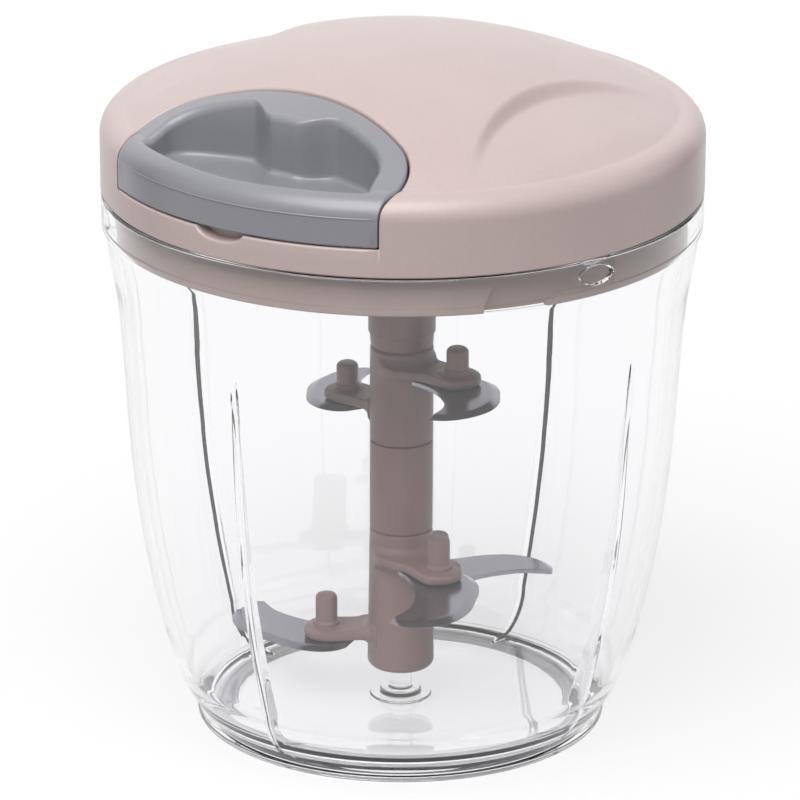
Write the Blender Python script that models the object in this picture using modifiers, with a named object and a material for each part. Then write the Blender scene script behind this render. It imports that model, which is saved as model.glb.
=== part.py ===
"""Pull-cord food chopper: a clear bowl, a sculpted lid with a pull handle, and a five-blade stem.

Metres, +Z up. The origin is the middle of the face that the chopper stands on, and the handle
points to -Y. Pulling the handle unwinds a cord from a reel in the lid. The reel's pawls push a
ratchet, which turns the stem, and a flat spiral spring winds the cord back.
"""
import math

import bmesh
import bpy
import numpy as np
from mathutils import Matrix, Vector

MM = 0.001

# Clearances
GAP = 0.3 * MM                  # between touching pieces
HANDLE_GAP = 0.4 * MM           # around the handle in its recess
LUG_PLAY = 0.4 * MM             # above, below and behind a bowl lug in its slot
RUNNING_GAP = 0.4 * MM          # between the reel's stack and the cover's boss

# Bowl
RIM_TOP = 115.6 * MM            # height of the bowl's rim
BOWL_WALL = 2.3 * MM
BAND_RADIUS = 61.9 * MM         # smooth band at the mouth
BAND_HEIGHT = 7.2 * MM
BAND_STEP = 0.6 * MM            # the band stands proud of the wall below it
WALL_FOOT_RADIUS = 41.4 * MM    # where the wall meets the foot
WALL_FOOT_HEIGHT = 2.4 * MM
FLOOR_TOP = 3.4 * MM
FLOOR_THICKNESS = 2.0 * MM
FLOOR_FILLET = 3.2 * MM
FOOT_RADIUS = 42.8 * MM
FOOT_THICKNESS = 1.2 * MM
FOOT_LIFT = 0.4 * MM            # the clear foot stays this far above the table
# Outer wall between the foot and the band: share of the height, inset from the band's radius
WALL_SHAPE = (
    (0.06, 16.2 * MM),
    (0.18, 11.9 * MM),
    (0.34, 8.2 * MM),
    (0.52, 5.7 * MM),
    (0.72, 4.2 * MM),
    (0.86, 2.9 * MM),
    (0.95, 1.1 * MM),
)
PIN_RADIUS = 2.4 * MM           # pin that steadies the foot of the stem
PIN_TOP = 14.0 * MM
PIN_BOSS_RADIUS = 4.35 * MM
PIN_BOSS_HEIGHT = 1.5 * MM
PIN_RING_RADIUS = 6.4 * MM
PIN_RING_HEIGHT = 0.35 * MM
RIB_COUNT = 4
RIB_TOP = 88.0 * MM
RIB_DEPTH = 4.0 * MM            # how far a rib stands into the bowl at its foot
RIB_THICKNESS = 1.8 * MM
LUG_COUNT = 3
LUG_AZIMUTH = 76.0              # degrees from the handle, towards +X
LUG_DROP = 3.9 * MM             # lug centre below the rim
LUG_WIDTH = 8.6 * MM
LUG_HEIGHT = 4.0 * MM
LUG_DEPTH = 1.6 * MM

# Anti-slip ring under the bowl
RING_INNER = 34.8 * MM
RING_OUTER = 40.3 * MM
RING_HEIGHT = 1.5 * MM

# Lid cover
LID_OVERHANG = 0.1 * MM         # the cover stands proud of the bowl's band
LID_RISE = 31.0 * MM            # dome top above the cover's lower edge
LID_SIDE = 11.5 * MM            # height of the upright side
EDGE_INSET = 5.4 * MM           # fillet between side and dome
EDGE_RISE = 4.9 * MM
DOME_FALL = 14.6 * MM           # from the middle to the fillet
COVER_WALL = 1.6 * MM
COVER_SEAT_GAP = 0.35 * MM
DENT_DEPTH = 2.6 * MM           # grip hollows at both sides
DENT_ARC_RADIUS = 61.0 * MM
DENT_ARC_EDGE = 31.9 * MM       # the hollow's inner edge, at its nearest to the middle
DENT_EDGE_WIDTH = 3.2 * MM
DENT_FADE = 26.0 * MM
DENT_HALF_LENGTH = 31.0 * MM
DENT_SHIFT = -3.0 * MM
BOSS_RADIUS = 3.2 * MM
BOSS_INSET = 5.3 * MM           # from the skirt's inside to the middle of a screw boss
BOSS_AZIMUTHS = (60.0, 150.0, 210.0, 300.0)
AXLE_BOSS_RADIUS = 6.0 * MM

# Handle recess in the cover, and the pull handle
LEDGE_HEIGHT = 5.9 * MM         # front ledge above the cover's lower edge
RECESS_STEP = 4.8 * MM          # recess floor behind the handle's lip, above the ledge
STEP_INSET = 2.7 * MM           # from the lid's side to the edge of that floor
RECESS_FLOOR = 2.2 * MM         # thickness
RECESS_WALL = 2.0 * MM
SCOOP_WIDTH = 11.0 * MM         # fingertip notch in the ledge
SCOOP_DEPTH = 2.3 * MM
SCOOP_REACH = 5.0 * MM
HANDLE_HALF_WIDTH = 32.3 * MM
HANDLE_BACK = 31.0 * MM         # from the middle of the lid
HANDLE_BACK_RADIUS = 70.5 * MM
HANDLE_CORNER = 7.0 * MM
HANDLE_FRONT_WALL = 4.2 * MM
HANDLE_SIDE_WALL = 5.0 * MM
HANDLE_BACK_WALL = 5.8 * MM
HANDLE_KNOT_WALL = 10.0 * MM    # thick middle of the back wall, which hides the knot
KNOT_WALL_HALF_WIDTH = 5.6 * MM
KNOT_WALL_SLOPE = 5.0 * MM
HANDLE_TOP_ROUND = 1.7 * MM
HANDLE_STATIONS = 56

# Cord and knot
CORD_RADIUS = 0.9 * MM
CORD_HEIGHT = 15.4 * MM         # eyelet above the cover's lower edge
CORD_PITCH = 2.25 * MM
CORD_TURNS = 2.8
KNOT_RADIUS = 2.3 * MM
KNOT_SETBACK = 3.6 * MM         # knot pocket behind the handle's back face
EYELET_RADIUS = 2.6 * MM
EYELET_FLANGE = 3.8 * MM
EYELET_FLANGE_THICKNESS = 1.0 * MM

# Lid base
BASE_PLATE = 1.8 * MM
BASE_FLANGE = 0.8 * MM
SKIRT_DEPTH = 8.2 * MM          # skirt below the rim
SKIRT_WALL = 3.4 * MM
SLOT_DEPTH = 1.5 * MM
SLOT_TURN = 17.5                # degrees from locked to free
ENTRY_HALF_ANGLE = 6.6          # degrees
BEARING_WALL = 2.2 * MM
BEARING_DEPTH = 6.5 * MM        # bearing tube below the plate
SEAL_HEIGHT = 1.1 * MM
SCREW_RADIUS = 1.4 * MM
SCREW_LENGTH = 11.0 * MM
SCREW_HEAD_RADIUS = 2.8 * MM
SCREW_HEAD_HEIGHT = 1.8 * MM

# Reel, spring and clutch
AXLE_RADIUS = 2.5 * MM
AXLE_INSERT = 4.5 * MM          # axle end inside the cover's boss
REEL_WEB = 1.6 * MM
REEL_HUB_RADIUS = 5.0 * MM
REEL_HUB_HEIGHT = 1.4 * MM
DRUM_RADIUS = 19.4 * MM
DRUM_WALL = 1.8 * MM
DRUM_HEIGHT = 10.6 * MM
FLANGE_RADIUS = 25.6 * MM
FLANGE_THICKNESS = 1.4 * MM
SPRING_COVER_RADIUS = 22.0 * MM
SPRING_COVER_THICKNESS = 1.0 * MM
SPRING_STRIP = 0.35 * MM
SPRING_HEIGHT = 7.6 * MM
SPRING_TURNS = 6.5
PAWL_CIRCLE = 14.9 * MM
PAWL_HEIGHT = 2.8 * MM
PAWL_EYE = 2.6 * MM
PAWL_PIN_RADIUS = 1.2 * MM
PAWL_PIN_HEAD = 2.0 * MM
PAWL_PIN_HEAD_HEIGHT = 0.6 * MM
RATCHET_TEETH = 10
RATCHET_RADIUS = 10.6 * MM
RATCHET_TOOTH = 1.7 * MM
RATCHET_HEIGHT = 3.4 * MM

# Drive socket and blade stem
SOCKET_RADIUS = 7.0 * MM
SOCKET_COLLAR = 2.6 * MM
SOCKET_GROOVE = 0.5 * MM
HEX_FLATS = 8.0 * MM            # across flats of the core that turns the stem
CORE_IN_SOCKET = 16.0 * MM
CLIP_OUTER = 9.2 * MM
CLIP_THICKNESS = 0.6 * MM
CLIP_SEAT = 0.8 * MM            # depth of its groove in the socket
STEM_RADIUS = 6.6 * MM
STEM_FOOT_RADIUS = 7.0 * MM
STEM_LIFT = 6.6 * MM            # foot of the stem above the bowl's floor
LOWER_HUB_HEIGHT = 31.0 * MM
SPACER_HEIGHT = 19.7 * MM
UPPER_HUB_HEIGHT = 20.4 * MM
PIN_SOCKET_DEPTH = 6.0 * MM
STEM_SEAM = 0.3 * MM            # small chamfer at each seam

# Blades, arms and pegs. Heights are of an arm's top above the foot of its own hub.
BLADE_THICKNESS = 0.9 * MM
BLADE_EDGE = 1.3 * MM           # width of the ground edge
BLADE_MIDDLE = 20.0 * MM        # the edge is ground towards this point along the blade
ARM_THICKNESS = 2.0 * MM
LOWER_ARM_ANGLES = (-42.0, 78.0, 198.0)
LOWER_ARM_HEIGHTS = (26.6 * MM, 17.0 * MM, 8.6 * MM)
UPPER_ARM_ANGLES = (-25.0, 155.0)
UPPER_ARM_HEIGHTS = (18.0 * MM, 7.4 * MM)
UPPER_BLADE_TRIM = 6.4 * MM     # the upper blades are this much shorter
PEG_PLACE = (14.9 * MM, 4.8 * MM)
PEG_RADIUS = 2.3 * MM
PEG_RISE = 6.8 * MM             # above the arm
UPPER_PEG_RISE = 5.4 * MM
PEG_SHANK_RADIUS = 1.3 * MM
PEG_HEAD_HEIGHT = 0.9 * MM
# Blade outline along its arm's direction, as (outward, towards the ground edge)
BLADE_ROOT = ((8.6, -2.6), (9.6, 8.4))
BLADE_CONVEX = (
    (12.6, 11.6), (16.6, 12.6), (25.6, 10.3), (32.3, 7.3), (36.6, 3.2), (38.4, -2.0), (37.2, -7.4),
)
BLADE_TIP = (34.6, -9.9)
BLADE_CONCAVE = ((30.6, -5.2), (25.4, -2.6), (19.0, -1.2))
# Arm outline with the radius of each corner
ARM_OUTLINE = (
    (0.0, -5.6, 0.0),
    (6.5, -5.9, 2.0),
    (13.6, 0.2, 3.0),
    (18.2, 0.2, 3.2),
    (19.7, 6.4, 3.4),
    (15.0, 9.9, 3.4),
    (8.0, 6.6, 3.0),
    (0.0, 5.6, 0.0),
)

# Levels that follow from the sizes
LID_RADIUS = BAND_RADIUS + LID_OVERHANG
STEP_RADIUS = LID_RADIUS - STEP_INSET
COVER_LOW = RIM_TOP + COVER_SEAT_GAP
LID_TOP = COVER_LOW + LID_RISE
DOME_RADIUS = LID_RADIUS - EDGE_INSET
LEDGE_TOP = COVER_LOW + LEDGE_HEIGHT
STEP_TOP = LEDGE_TOP + RECESS_STEP
CORD_LEVEL = COVER_LOW + CORD_HEIGHT
SKIRT_LOW = RIM_TOP - SKIRT_DEPTH
BOWL_INNER = BAND_RADIUS - BOWL_WALL
SKIRT_RADIUS = BOWL_INNER - 3.0 * GAP
BOSS_CIRCLE = SKIRT_RADIUS - SKIRT_WALL - BOSS_INSET
SEAL_LOW = RIM_TOP + GAP
PLATE_TOP = SEAL_LOW + SEAL_HEIGHT + GAP + BASE_FLANGE
PLATE_LOW = PLATE_TOP - BASE_PLATE
FLANGE_EDGE = LID_RADIUS - COVER_WALL - GAP
BEARING_LOW = PLATE_LOW - BEARING_DEPTH
BEARING_BORE = SOCKET_RADIUS + GAP
RATCHET_LOW = PLATE_TOP + GAP
RATCHET_TOP = RATCHET_LOW + RATCHET_HEIGHT
REEL_LOW = RATCHET_TOP + GAP
WEB_TOP = REEL_LOW + REEL_WEB
DRUM_TOP = WEB_TOP + DRUM_HEIGHT
REEL_TOP = DRUM_TOP + FLANGE_THICKNESS
SPRING_COVER_LOW = REEL_TOP + GAP
AXLE_BOSS_LOW = SPRING_COVER_LOW + SPRING_COVER_THICKNESS + RUNNING_GAP
COIL_RADIUS = DRUM_RADIUS + GAP + CORD_RADIUS
STEM_LOW = FLOOR_TOP + STEM_LIFT
SPACER_LOW = STEM_LOW + LOWER_HUB_HEIGHT
UPPER_HUB_LOW = SPACER_LOW + SPACER_HEIGHT
STEM_TOP = UPPER_HUB_LOW + UPPER_HUB_HEIGHT
SOCKET_LOW = STEM_TOP + GAP
CORE_LOW = STEM_LOW + PIN_SOCKET_DEPTH + 2.0 * GAP
CORE_TOP = SOCKET_LOW + CORE_IN_SOCKET
LUG_LEVEL = RIM_TOP - LUG_DROP

TURN_STEPS = 40
SMALL_TURN_STEPS = 20


def clear_scene():
    for item in list(bpy.data.objects):
        bpy.data.objects.remove(item)


def make_collection(name):
    found = bpy.data.collections.get(name)
    if found is None:
        found = bpy.data.collections.new(name)
        bpy.context.scene.collection.children.link(found)
    return found


def make_material(name, red, green, blue, roughness, metallic=0.0, alpha=1.0):
    made = bpy.data.materials.new(name)
    made.use_nodes = True
    shader = made.node_tree.nodes["Principled BSDF"]
    shader.inputs["Base Color"].default_value = (red, green, blue, 1.0)
    shader.inputs["Roughness"].default_value = roughness
    shader.inputs["Metallic"].default_value = metallic
    shader.inputs["Alpha"].default_value = alpha
    return made


clear_scene()
PARTS = make_collection("food_chopper")
CUTTERS = make_collection("cutters")
CLEAR = make_material("clear_plastic", 0.86, 0.86, 0.88, 0.05, alpha=0.3)
GREY_RUBBER = make_material("grey_rubber", 0.36, 0.36, 0.38, 0.7)
PINK = make_material("pink_plastic", 0.56, 0.43, 0.40, 0.45)
MAUVE = make_material("mauve_plastic", 0.26, 0.19, 0.18, 0.4)
GREY = make_material("grey_plastic", 0.30, 0.31, 0.33, 0.4)
SILICONE = make_material("white_silicone", 0.75, 0.75, 0.74, 0.5)
STEEL = make_material("stainless_steel", 0.56, 0.56, 0.58, 0.22, metallic=1.0)
ZINC = make_material("zinc_plated_steel", 0.50, 0.50, 0.50, 0.35, metallic=1.0)
SPRING_STEEL = make_material("spring_steel", 0.30, 0.30, 0.32, 0.35, metallic=1.0)
NYLON = make_material("white_nylon", 0.72, 0.72, 0.70, 0.5)
CORD = make_material("grey_cord", 0.42, 0.42, 0.43, 0.85)


def add_object(name, data, material=None, collection=None):
    """Link an object for mesh or curve data. Without a material it is a cutter or a guide."""
    item = bpy.data.objects.new(name, data)
    if material is None:
        CUTTERS.objects.link(item)
        item.hide_render = True
        item.display_type = "WIRE"
    else:
        PARTS.objects.link(item)
        data.materials.append(material)
    return item


def shade(mesh):
    mesh.shade_smooth()
    mesh.set_sharp_from_angle(angle=math.radians(35.0))


def turned(name, profile, material=None, closed=False, steps=TURN_STEPS):
    """Turn a profile of (radius, height) points, listed down its outer side, about the Z axis."""
    count = len(profile)
    edges = [(i, i + 1) for i in range(count - 1)]
    if closed:
        edges.append((count - 1, 0))
    edges = [(i, j) for i, j in edges if profile[i][0] > 0.0 or profile[j][0] > 0.0]
    mesh = bpy.data.meshes.new(name)
    mesh.from_pydata([(radius, 0.0, height) for radius, height in profile], edges, [])
    item = add_object(name, mesh, material)
    screw = item.modifiers.new("turn", "SCREW")
    screw.angle = math.tau
    screw.steps = steps
    screw.render_steps = steps
    screw.use_merge_vertices = True
    screw.merge_threshold = 0.00001
    screw.use_smooth_shade = True
    return item


def extruded(name, outline, low, high, material=None):
    """A flat outline with an even height, made as a filled 2D curve and then a mesh."""
    curve = bpy.data.curves.new(name + "_outline", "CURVE")
    curve.dimensions = "2D"
    curve.fill_mode = "BOTH"
    curve.extrude = (high - low) / 2.0
    spline = curve.splines.new("POLY")
    spline.points.add(len(outline) - 1)
    for point, (x, y) in zip(spline.points, outline):
        point.co = (x, y, 0.0, 1.0)
    spline.use_cyclic_u = True
    guide = bpy.data.objects.new(name + "_outline", curve)
    guide.location.z = (low + high) / 2.0
    return meshed(guide, name, material)


def meshed(guide, name, material=None):
    """Replace a curve object by the mesh it evaluates to, with its caps welded."""
    CUTTERS.objects.link(guide)
    bpy.context.view_layer.update()
    view = guide.evaluated_get(bpy.context.evaluated_depsgraph_get())
    mesh = bpy.data.meshes.new_from_object(view)
    mesh.materials.clear()
    mesh.name = name
    form = bmesh.new()
    form.from_mesh(mesh)
    bmesh.ops.remove_doubles(form, verts=form.verts, dist=0.000001)
    bmesh.ops.recalc_face_normals(form, faces=form.faces)
    form.to_mesh(mesh)
    form.free()
    mesh.transform(guide.matrix_world)
    shade(mesh)
    bpy.data.objects.remove(guide)
    return add_object(name, mesh, material)


def tube(name, points, radius, material=None):
    """A round tube along a list of points."""
    curve = bpy.data.curves.new(name, "CURVE")
    curve.dimensions = "3D"
    curve.bevel_depth = radius
    curve.bevel_resolution = 2
    curve.use_fill_caps = True
    spline = curve.splines.new("POLY")
    spline.points.add(len(points) - 1)
    for point, place in zip(spline.points, points):
        point.co = (place[0], place[1], place[2], 1.0)
    return add_object(name, curve, material)


def rod(name, radius, start, end, sides=16, material=None):
    """A straight round bar between two points, as a mesh."""
    start = Vector(start)
    end = Vector(end)
    form = bmesh.new()
    bmesh.ops.create_cone(
        form,
        cap_ends=True,
        segments=sides,
        radius1=radius,
        radius2=radius,
        depth=(end - start).length,
    )
    turn = Vector((0.0, 0.0, 1.0)).rotation_difference(end - start).to_matrix().to_4x4()
    bmesh.ops.transform(form, matrix=Matrix.Translation((start + end) / 2.0) @ turn, verts=form.verts)
    mesh = bpy.data.meshes.new(name)
    form.to_mesh(mesh)
    form.free()
    shade(mesh)
    return add_object(name, mesh, material)


def lofted(name, sections, material=None, closed=True):
    """Join equal rings of points. A closed loft meets its first ring again, an open one is capped."""
    form = bmesh.new()
    rings = [[form.verts.new(place) for place in section] for section in sections]
    count = len(rings[0])
    last = len(rings) if closed else len(rings) - 1
    for i in range(last):
        here = rings[i]
        there = rings[(i + 1) % len(rings)]
        for j in range(count):
            k = (j + 1) % count
            form.faces.new((here[j], here[k], there[k], there[j]))
    if not closed:
        form.faces.new(rings[0])
        form.faces.new(rings[-1])
    bmesh.ops.recalc_face_normals(form, faces=form.faces)
    mesh = bpy.data.meshes.new(name)
    form.to_mesh(mesh)
    form.free()
    shade(mesh)
    return add_object(name, mesh, material)


def combine(target, other, operation):
    """Add a live EXACT Boolean. The other object becomes a cutter."""
    change = target.modifiers.new(operation.lower(), "BOOLEAN")
    change.operation = operation
    change.object = other
    change.solver = "EXACT"
    return target


def cut(target, *cutters):
    for cutter in cutters:
        combine(target, cutter, "DIFFERENCE")
    return target


def join(target, *others):
    for other in others:
        combine(target, other, "UNION")
    return target


def place(item, x=0.0, y=0.0, z=0.0, degrees=0.0):
    item.location = (x, y, z)
    item.rotation_euler.z = math.radians(degrees)
    return item


def polar(radius, degrees):
    angle = math.radians(degrees)
    return radius * math.cos(angle), radius * math.sin(angle)


def azimuth(radius, degrees):
    """A point at an angle from the handle's direction, -Y, towards +X."""
    return polar(radius, degrees - 90.0)


def rounded(corners, steps=4):
    """A closed outline from (x, y, radius) corners, each rounded by an arc."""
    outline = []
    count = len(corners)
    for i, (x, y, radius) in enumerate(corners):
        here = Vector((x, y))
        if radius <= 0.0:
            outline.append((x, y))
            continue
        before = (Vector(corners[i - 1][:2]) - here).normalized()
        after = (Vector(corners[(i + 1) % count][:2]) - here).normalized()
        half = before.angle(after) / 2.0
        reach = radius / math.tan(half)
        centre = here + (before + after).normalized() * (radius / math.sin(half))
        start = here + before * reach - centre
        end = here + after * reach - centre
        sweep = start.angle_signed(end)
        for step in range(steps + 1):
            turn = -sweep * step / steps
            spot = centre + Matrix.Rotation(turn, 2) @ start
            outline.append((spot.x, spot.y))
    return outline


def scaled(points, factor=MM):
    return [tuple(value * factor for value in point) for point in points]


def smooth_curve(points, steps):
    """A Catmull-Rom curve through the points, with the end points kept."""
    path = np.array(points, dtype=float)
    padded = np.vstack([2.0 * path[0] - path[1], path, 2.0 * path[-1] - path[-2]])
    out = []
    for i in range(1, len(padded) - 2):
        before, here, there, after = padded[i - 1:i + 3]
        for t in np.linspace(0.0, 1.0, steps, endpoint=False):
            out.append(0.5 * (
                2.0 * here
                + (there - before) * t
                + (2.0 * before - 5.0 * here + 4.0 * there - after) * t ** 2
                + (3.0 * here - before - 3.0 * there + after) * t ** 3
            ))
    out.append(padded[-2])
    return [tuple(point) for point in out]


# The bowl's wall

def wall_knots():
    low = WALL_FOOT_HEIGHT
    high = RIM_TOP - BAND_HEIGHT
    knots = [(WALL_FOOT_RADIUS, low)]
    for share, inset in WALL_SHAPE:
        knots.append((BAND_RADIUS - inset, low + share * (high - low)))
    knots.append((BAND_RADIUS - BAND_STEP, high))
    return knots


def wall_radius(height):
    """Outer radius of the wall at a height, straight between the knots."""
    knots = wall_knots()
    return float(np.interp(height, [z for _, z in knots], [r for r, _ in knots]))


def make_bowl():
    outer = [(BAND_RADIUS, RIM_TOP - BAND_HEIGHT + BAND_STEP)] + wall_knots()[::-1]
    foot_low = FOOT_LIFT
    foot_high = foot_low + FOOT_THICKNESS
    groove_top = RING_HEIGHT + GAP
    floor_low = FLOOR_TOP - FLOOR_THICKNESS
    profile = [(BAND_RADIUS - 0.5 * MM, RIM_TOP), (BAND_RADIUS, RIM_TOP - 0.5 * MM)]
    profile += outer
    profile += [
        (FOOT_RADIUS, foot_high),
        (FOOT_RADIUS, foot_low),
        (RING_OUTER + GAP, foot_low),
        (RING_OUTER + GAP, groove_top),
        (RING_INNER - GAP, groove_top),
        (RING_INNER - GAP, floor_low),
        (0.0, floor_low),
    ]
    fillet_top = FLOOR_TOP + FLOOR_FILLET
    corner = wall_radius(fillet_top) - BOWL_WALL
    inner = [
        (0.0, PIN_TOP),
        (PIN_RADIUS * 0.6, PIN_TOP - PIN_RADIUS * 0.25),
        (PIN_RADIUS, PIN_TOP - PIN_RADIUS),
        (PIN_RADIUS, FLOOR_TOP + PIN_BOSS_HEIGHT),
        (PIN_BOSS_RADIUS, FLOOR_TOP + PIN_BOSS_HEIGHT),
        (PIN_BOSS_RADIUS, FLOOR_TOP + PIN_RING_HEIGHT),
        (PIN_RING_RADIUS, FLOOR_TOP + PIN_RING_HEIGHT),
        (PIN_RING_RADIUS, FLOOR_TOP),
        (corner - FLOOR_FILLET, FLOOR_TOP),
        (corner - FLOOR_FILLET * 0.35, FLOOR_TOP + FLOOR_FILLET * 0.3),
        (corner, fillet_top),
    ]
    for radius, height in wall_knots():
        if height > fillet_top + GAP:
            inner.append((min(radius - BOWL_WALL, BOWL_INNER), height))
    inner += [(BOWL_INNER, RIM_TOP - 0.3 * MM), (BOWL_INNER + 0.3 * MM, RIM_TOP)]
    profile += inner
    bowl = turned("bowl", profile, CLEAR, closed=True)
    for index in range(RIB_COUNT):
        join(bowl, make_rib(index))
    for index in range(LUG_COUNT):
        join(bowl, make_lug(index))
    return bowl


def rib_depth(height):
    """A rib is deepest at the floor and runs out into the wall at its top."""
    share = (RIB_TOP - height) / (RIB_TOP - FLOOR_TOP)
    return RIB_DEPTH * max(share, 0.0) ** 0.7


def make_rib(index):
    """A fin on the wall's inside, made of level sections from the floor up."""
    side = RIB_THICKNESS / 2.0
    sections = []
    for height in np.linspace(FLOOR_TOP - FLOOR_THICKNESS * 0.4, RIB_TOP, 10):
        near = wall_radius(height) - BOWL_WALL - rib_depth(height) + GAP
        far = wall_radius(height) - BOWL_WALL * 0.45
        tip = side * 0.6
        sections.append([
            (near + side * 0.5, -side, height),
            (far, -side, height),
            (far, side, height),
            (near + side * 0.5, side, height),
            (near, tip, height),
            (near, -tip, height),
        ])
    rib = lofted(f"rib_{index + 1}", sections, closed=False)
    return place(rib, degrees=index * 360.0 / RIB_COUNT - 90.0)


def make_lug(index):
    """An oval lug on the inside of the rim that the lid's slot hooks over."""
    degrees = LUG_AZIMUTH + index * 360.0 / LUG_COUNT - 90.0
    lug = rod(
        f"lug_{index + 1}",
        LUG_WIDTH / 2.0,
        (BOWL_INNER - LUG_DEPTH, 0.0, 0.0),
        (BOWL_INNER + BOWL_WALL / 2.0, 0.0, 0.0),
        sides=20,
    )
    lug.data.transform(Matrix.Diagonal((1.0, 1.0, LUG_HEIGHT / LUG_WIDTH, 1.0)))
    return place(lug, z=LUG_LEVEL, degrees=degrees)


def make_ring():
    profile = [
        (RING_OUTER, RING_HEIGHT),
        (RING_OUTER, 0.0),
        (RING_INNER, 0.0),
        (RING_INNER, RING_HEIGHT),
    ]
    return turned("antislip_ring", profile, GREY_RUBBER, closed=True)


# The lid's sculpted cover

def dent(x, y):
    """Depth of the grip hollows: steep at the crescent edge, fading towards the rim and the ends."""
    centre = DENT_ARC_EDGE + DENT_ARC_RADIUS
    inwards = DENT_ARC_RADIUS - math.hypot(abs(x) - centre, y - DENT_SHIFT)
    if inwards <= 0.0:
        return 0.0
    along = abs(y - DENT_SHIFT) / DENT_HALF_LENGTH
    if along >= 1.0:
        return 0.0
    rise = min(inwards / DENT_EDGE_WIDTH, 1.0)
    rise = rise * rise * (3.0 - 2.0 * rise)
    fade = max(1.0 - inwards / DENT_FADE, 0.0)
    return DENT_DEPTH * rise * fade * (1.0 - along * along)


def dome_height(x, y):
    radius = min(math.hypot(x, y), DOME_RADIUS)
    return LID_TOP - DOME_FALL * (radius / DOME_RADIUS) ** 2 - dent(x, y)


def cover_rings(inset):
    """Profile of the cover from the middle outwards, moved in by an inset."""
    rings = [(share * DOME_RADIUS, None) for share in (0.0, 0.2, 0.38, 0.5, 0.56, 0.62, 0.69, 0.77, 0.86, 0.94)]
    side_top = COVER_LOW + LID_SIDE
    for step in range(5):
        angle = math.radians(90.0 - 22.5 * step)
        rings.append((
            DOME_RADIUS + (EDGE_INSET - inset) * math.cos(angle),
            side_top + (EDGE_RISE - inset) * math.sin(angle),
        ))
    return rings


def cover_form(name, inset, low, material=None, closed=True, sides=TURN_STEPS):
    """The cover's outer shape, as a closed solid or as an open skin."""
    form = bmesh.new()
    rings = cover_rings(inset)
    rings.append((LID_RADIUS - inset, low))
    edge_top = rings[10][1]
    dome_edge = LID_TOP - DOME_FALL
    rows = []
    for radius, height in rings:
        if radius == 0.0:
            rows.append([form.verts.new((0.0, 0.0, dome_height(0.0, 0.0) - inset))])
            continue
        row = []
        for side in range(sides):
            x, y = polar(radius, 360.0 * side / sides)
            if height is None:
                share = (radius / DOME_RADIUS) ** 6
                z = dome_height(x, y) - inset + share * (edge_top - dome_edge + inset)
            else:
                z = height
            row.append(form.verts.new((x, y, z)))
        rows.append(row)
    for side in range(sides):
        form.faces.new((rows[0][0], rows[1][side], rows[1][(side + 1) % sides]))
    for upper, lower in zip(rows[1:-1], rows[2:]):
        for side in range(sides):
            after = (side + 1) % sides
            form.faces.new((upper[side], lower[side], lower[after], upper[after]))
    if closed:
        form.faces.new(rows[-1][::-1])
    mesh = bpy.data.meshes.new(name)
    form.to_mesh(mesh)
    form.free()
    shade(mesh)
    return add_object(name, mesh, material)


def handle_outline(extra, front, arc_steps=4):
    """The handle's outline seen from above, grown by extra and open to the front."""
    side = HANDLE_HALF_WIDTH + extra
    radius = HANDLE_BACK_RADIUS + extra
    centre = -HANDLE_BACK - HANDLE_BACK_RADIUS
    corners = [(side, -front, 0.0)]
    corners.append((side, centre + math.sqrt(radius ** 2 - side ** 2), HANDLE_CORNER + extra))
    for x in np.linspace(0.68 * side, -0.68 * side, 7):
        corners.append((x, centre + math.sqrt(radius ** 2 - x ** 2), 0.0))
    corners.append((-side, centre + math.sqrt(radius ** 2 - side ** 2), HANDLE_CORNER + extra))
    corners.append((-side, -front, 0.0))
    return rounded(corners, arc_steps)


def recess_cutters():
    """The room above the recess floor, the room above its front ledge, and the hollow below it."""
    outline = handle_outline(HANDLE_GAP, 1.3 * LID_RADIUS)
    room = extruded("recess_room", outline, STEP_TOP, LID_TOP + 5.0 * MM)
    front = extruded("recess_front", outline, LEDGE_TOP, STEP_TOP + MM)
    cut(front, rod("recess_step", STEP_RADIUS, (0, 0, COVER_LOW), (0, 0, STEP_TOP + 3.0 * MM), sides=96))
    hollow = extruded("recess_hollow", outline, COVER_LOW, STEP_TOP - RECESS_FLOOR)
    limit = rod("hollow_limit", STEP_RADIUS - RECESS_FLOOR, (0, 0, COVER_LOW - MM), (0, 0, STEP_TOP), sides=96)
    combine(hollow, limit, "INTERSECT")
    return room, front, hollow


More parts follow.
